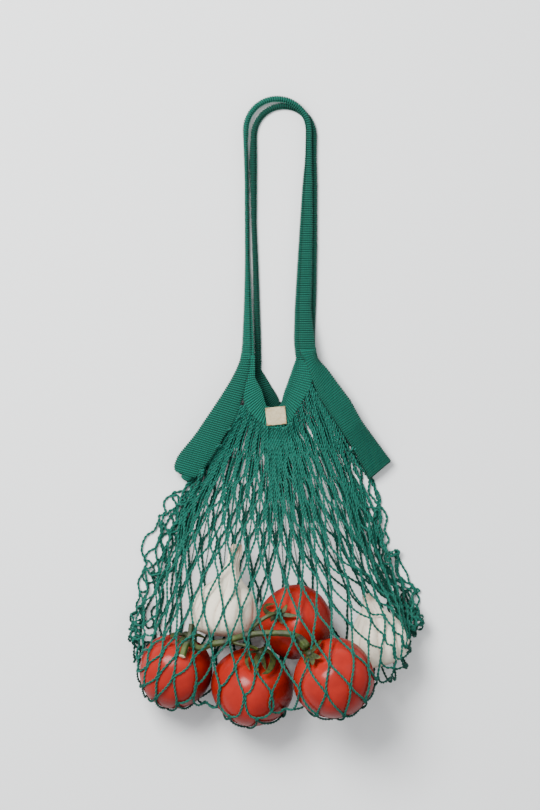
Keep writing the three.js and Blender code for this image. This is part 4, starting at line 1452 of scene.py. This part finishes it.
points, faces, fresh = joined(stem_part(*each) for each in [(MAIN_RADIUS, 1, MAIN_STEM)] + SIDE_STEMS)
stem = mesh_piece("truss_stem", points, faces, stem_finish, fresh=fresh)
stem.data.materials.append(cut_finish)
cut_end = min(stem.data.polygons, key=lambda face: (len(face.vertices) != STEM_SIDES, face.center[0]))
cut_end.material_index = 1
finish_piece(stem, "vine", "vine")

# %% [markdown]
# ## Garlic
# A bulb is a ring of cloves under papery skins. The skins are drawn together at the root plate and again
# at the neck, where they end in a dry twist. The lengthwise veins, the pink tinge and painted shade in the
# creases are in the material, and the cloves, the creases between them and the wrinkled neck are in the
# shape.

# %% Garlic skin
def papery(tree):
    """Cream, with brown-pink veins, root end and neck, and painted brown-pink shade in the creases."""
    veins = grain(1, detail=3, stretch=(0.0035, 0.00035, 1), contrast=(0.5, 0.85), attribute="skin")(tree)
    return calc(tree, "MAXIMUM", calc(tree, "MULTIPLY", veins, 0.5), mark(tree, "stain"))


def papery_relief(tree):
    """Fine wrinkles from root to neck."""
    return grain(1, detail=4, stretch=(0.009, 0.0004, 1), attribute="skin")(tree)


# The brown-pink colours the veins, root end and neck, and is also painted shade in the creases.
garlic_skin = new_material("garlic_skin", (0.96, 0.88, 0.70), (0.45, 0.28, 0.19), papery, 0.5,
                           bump=papery_relief, bump_depth=0.5, Specular_IOR_Level=0.4)

# %% Garlic shape
GARLIC_SIDES = 180
GARLIC_STEP = 0.9
SKIN_RADIUS = 30


def garlic_mesh(name, garlic):
    """A ring of cloves that narrows to a wrinkled neck. `skin` runs round and up it, for the veins."""
    outline = smooth_route([(h, r, 0) for h, r in garlic["outline"]], GARLIC_STEP)
    height, radius = outline[:, 0], outline[:, 1]
    length = garlic["outline"][-1][0]
    around = 2 * math.pi * np.arange(GARLIC_SIDES) / GARLIC_SIDES
    share = np.clip(height / (0.7 * length), 0, 1)
    body = np.sin(math.pi * share)[:, None]
    wander = 0.12 * np.sin(height / 11)[:, None]
    hump = np.abs(np.cos(CLOVES / 2 * (around[None, :] + wander) + garlic["turn"])) ** 0.6
    ridge = hump - 0.6
    neck = np.clip((height / length - 0.5) / 0.25, 0, 1)[:, None]
    wrinkle = 0.1 * np.sin(5 * around[None, :] + height[:, None] / 9) + 0.07 * np.sin(11 * around[None, :])
    reach = radius[:, None] * (1 + 2.2 * CLOVE_DEPTH * body * ridge + neck * wrinkle)
    lean = garlic["bend"] * (height / length)[:, None] ** 2
    up = np.broadcast_to(height[:, None], reach.shape)
    points = np.stack([reach * np.cos(around) + lean, reach * np.sin(around), up], axis=-1)
    points = stood_along(points.reshape(-1, 3), garlic["neck"], garlic["root"])
    skin_x, skin_y = (np.broadcast_to(SKIN_RADIUS * way(around), up.shape) for way in (np.cos, np.sin))
    skin = np.stack([skin_x, up, skin_y], axis=-1)
    # Painted shade: the creases between the cloves are painted brown-pink.
    crease = 0.8 * np.clip(1 - hump / 0.55, 0, 1) ** 1.5 * body ** 0.5
    ends = np.exp(-(height / 3.5) ** 2) + np.clip((height / length - 0.86) / 0.1, 0, 0.7)
    stain = np.clip(crease + ends[:, None], 0, 1)
    faces = rings_to_faces(len(height), GARLIC_SIDES)
    return mesh_piece(name, points, faces, garlic_skin, skin=skin.reshape(-1, 3), stain=stain.ravel())


for name, garlic in GARLICS.items():
    finish_piece(garlic_mesh(f"garlic_bulb_{name}", garlic), "garlic", f"garlic_{name}")

# %% [markdown]
# ## Floor and light
# A plain pale floor, one large soft light high up on the left, a faint one on the right, and an even
# pale sky that fills the shadows.

# %% Floor
floor_finish = new_material("pale_floor", (0.80, 0.81, 0.806), (0.83, 0.84, 0.836), grain(400), 0.9)
FLOOR_REACH = 3000
FLOOR_Z = -0.1
corners = [(x * FLOOR_REACH, y * FLOOR_REACH, FLOOR_Z) for x, y in ((-1, -1), (1, -1), (1, 1), (-1, 1))]
mesh_piece("floor", corners, [(0, 1, 2, 3)], floor_finish, smooth=False)

# %% Lights
LIT_MIDDLE = Vector((0, -0.1, 0))


def soft_light(name, direction, distance, size, power):
    """A large square light that faces the middle of the bag."""
    data = bpy.data.lights.new(name, "AREA")
    data.shape = "RECTANGLE"
    data.size, data.size_y = size
    data.energy = power
    light = bpy.data.objects.new(name, data)
    bpy.context.collection.objects.link(light)
    toward = Vector(direction).normalized()
    light.location = toward * distance + LIT_MIDDLE
    light.rotation_euler = toward.to_track_quat("Z", "Y").to_euler()


soft_light("window", (-0.35, 0.42, 0.84), 1.8, (0.8, 0.8), 62)
soft_light("fill", (0.7, 0.3, 0.6), 2.4, (1.5, 1.5), 7)
world = bpy.data.worlds.new("studio")
world.use_nodes = True
sky = world.node_tree.nodes["Background"]
sky.inputs["Color"].default_value = (0.95, 0.97, 1, 1)
sky.inputs["Strength"].default_value = 0.9
bpy.context.scene.world = world
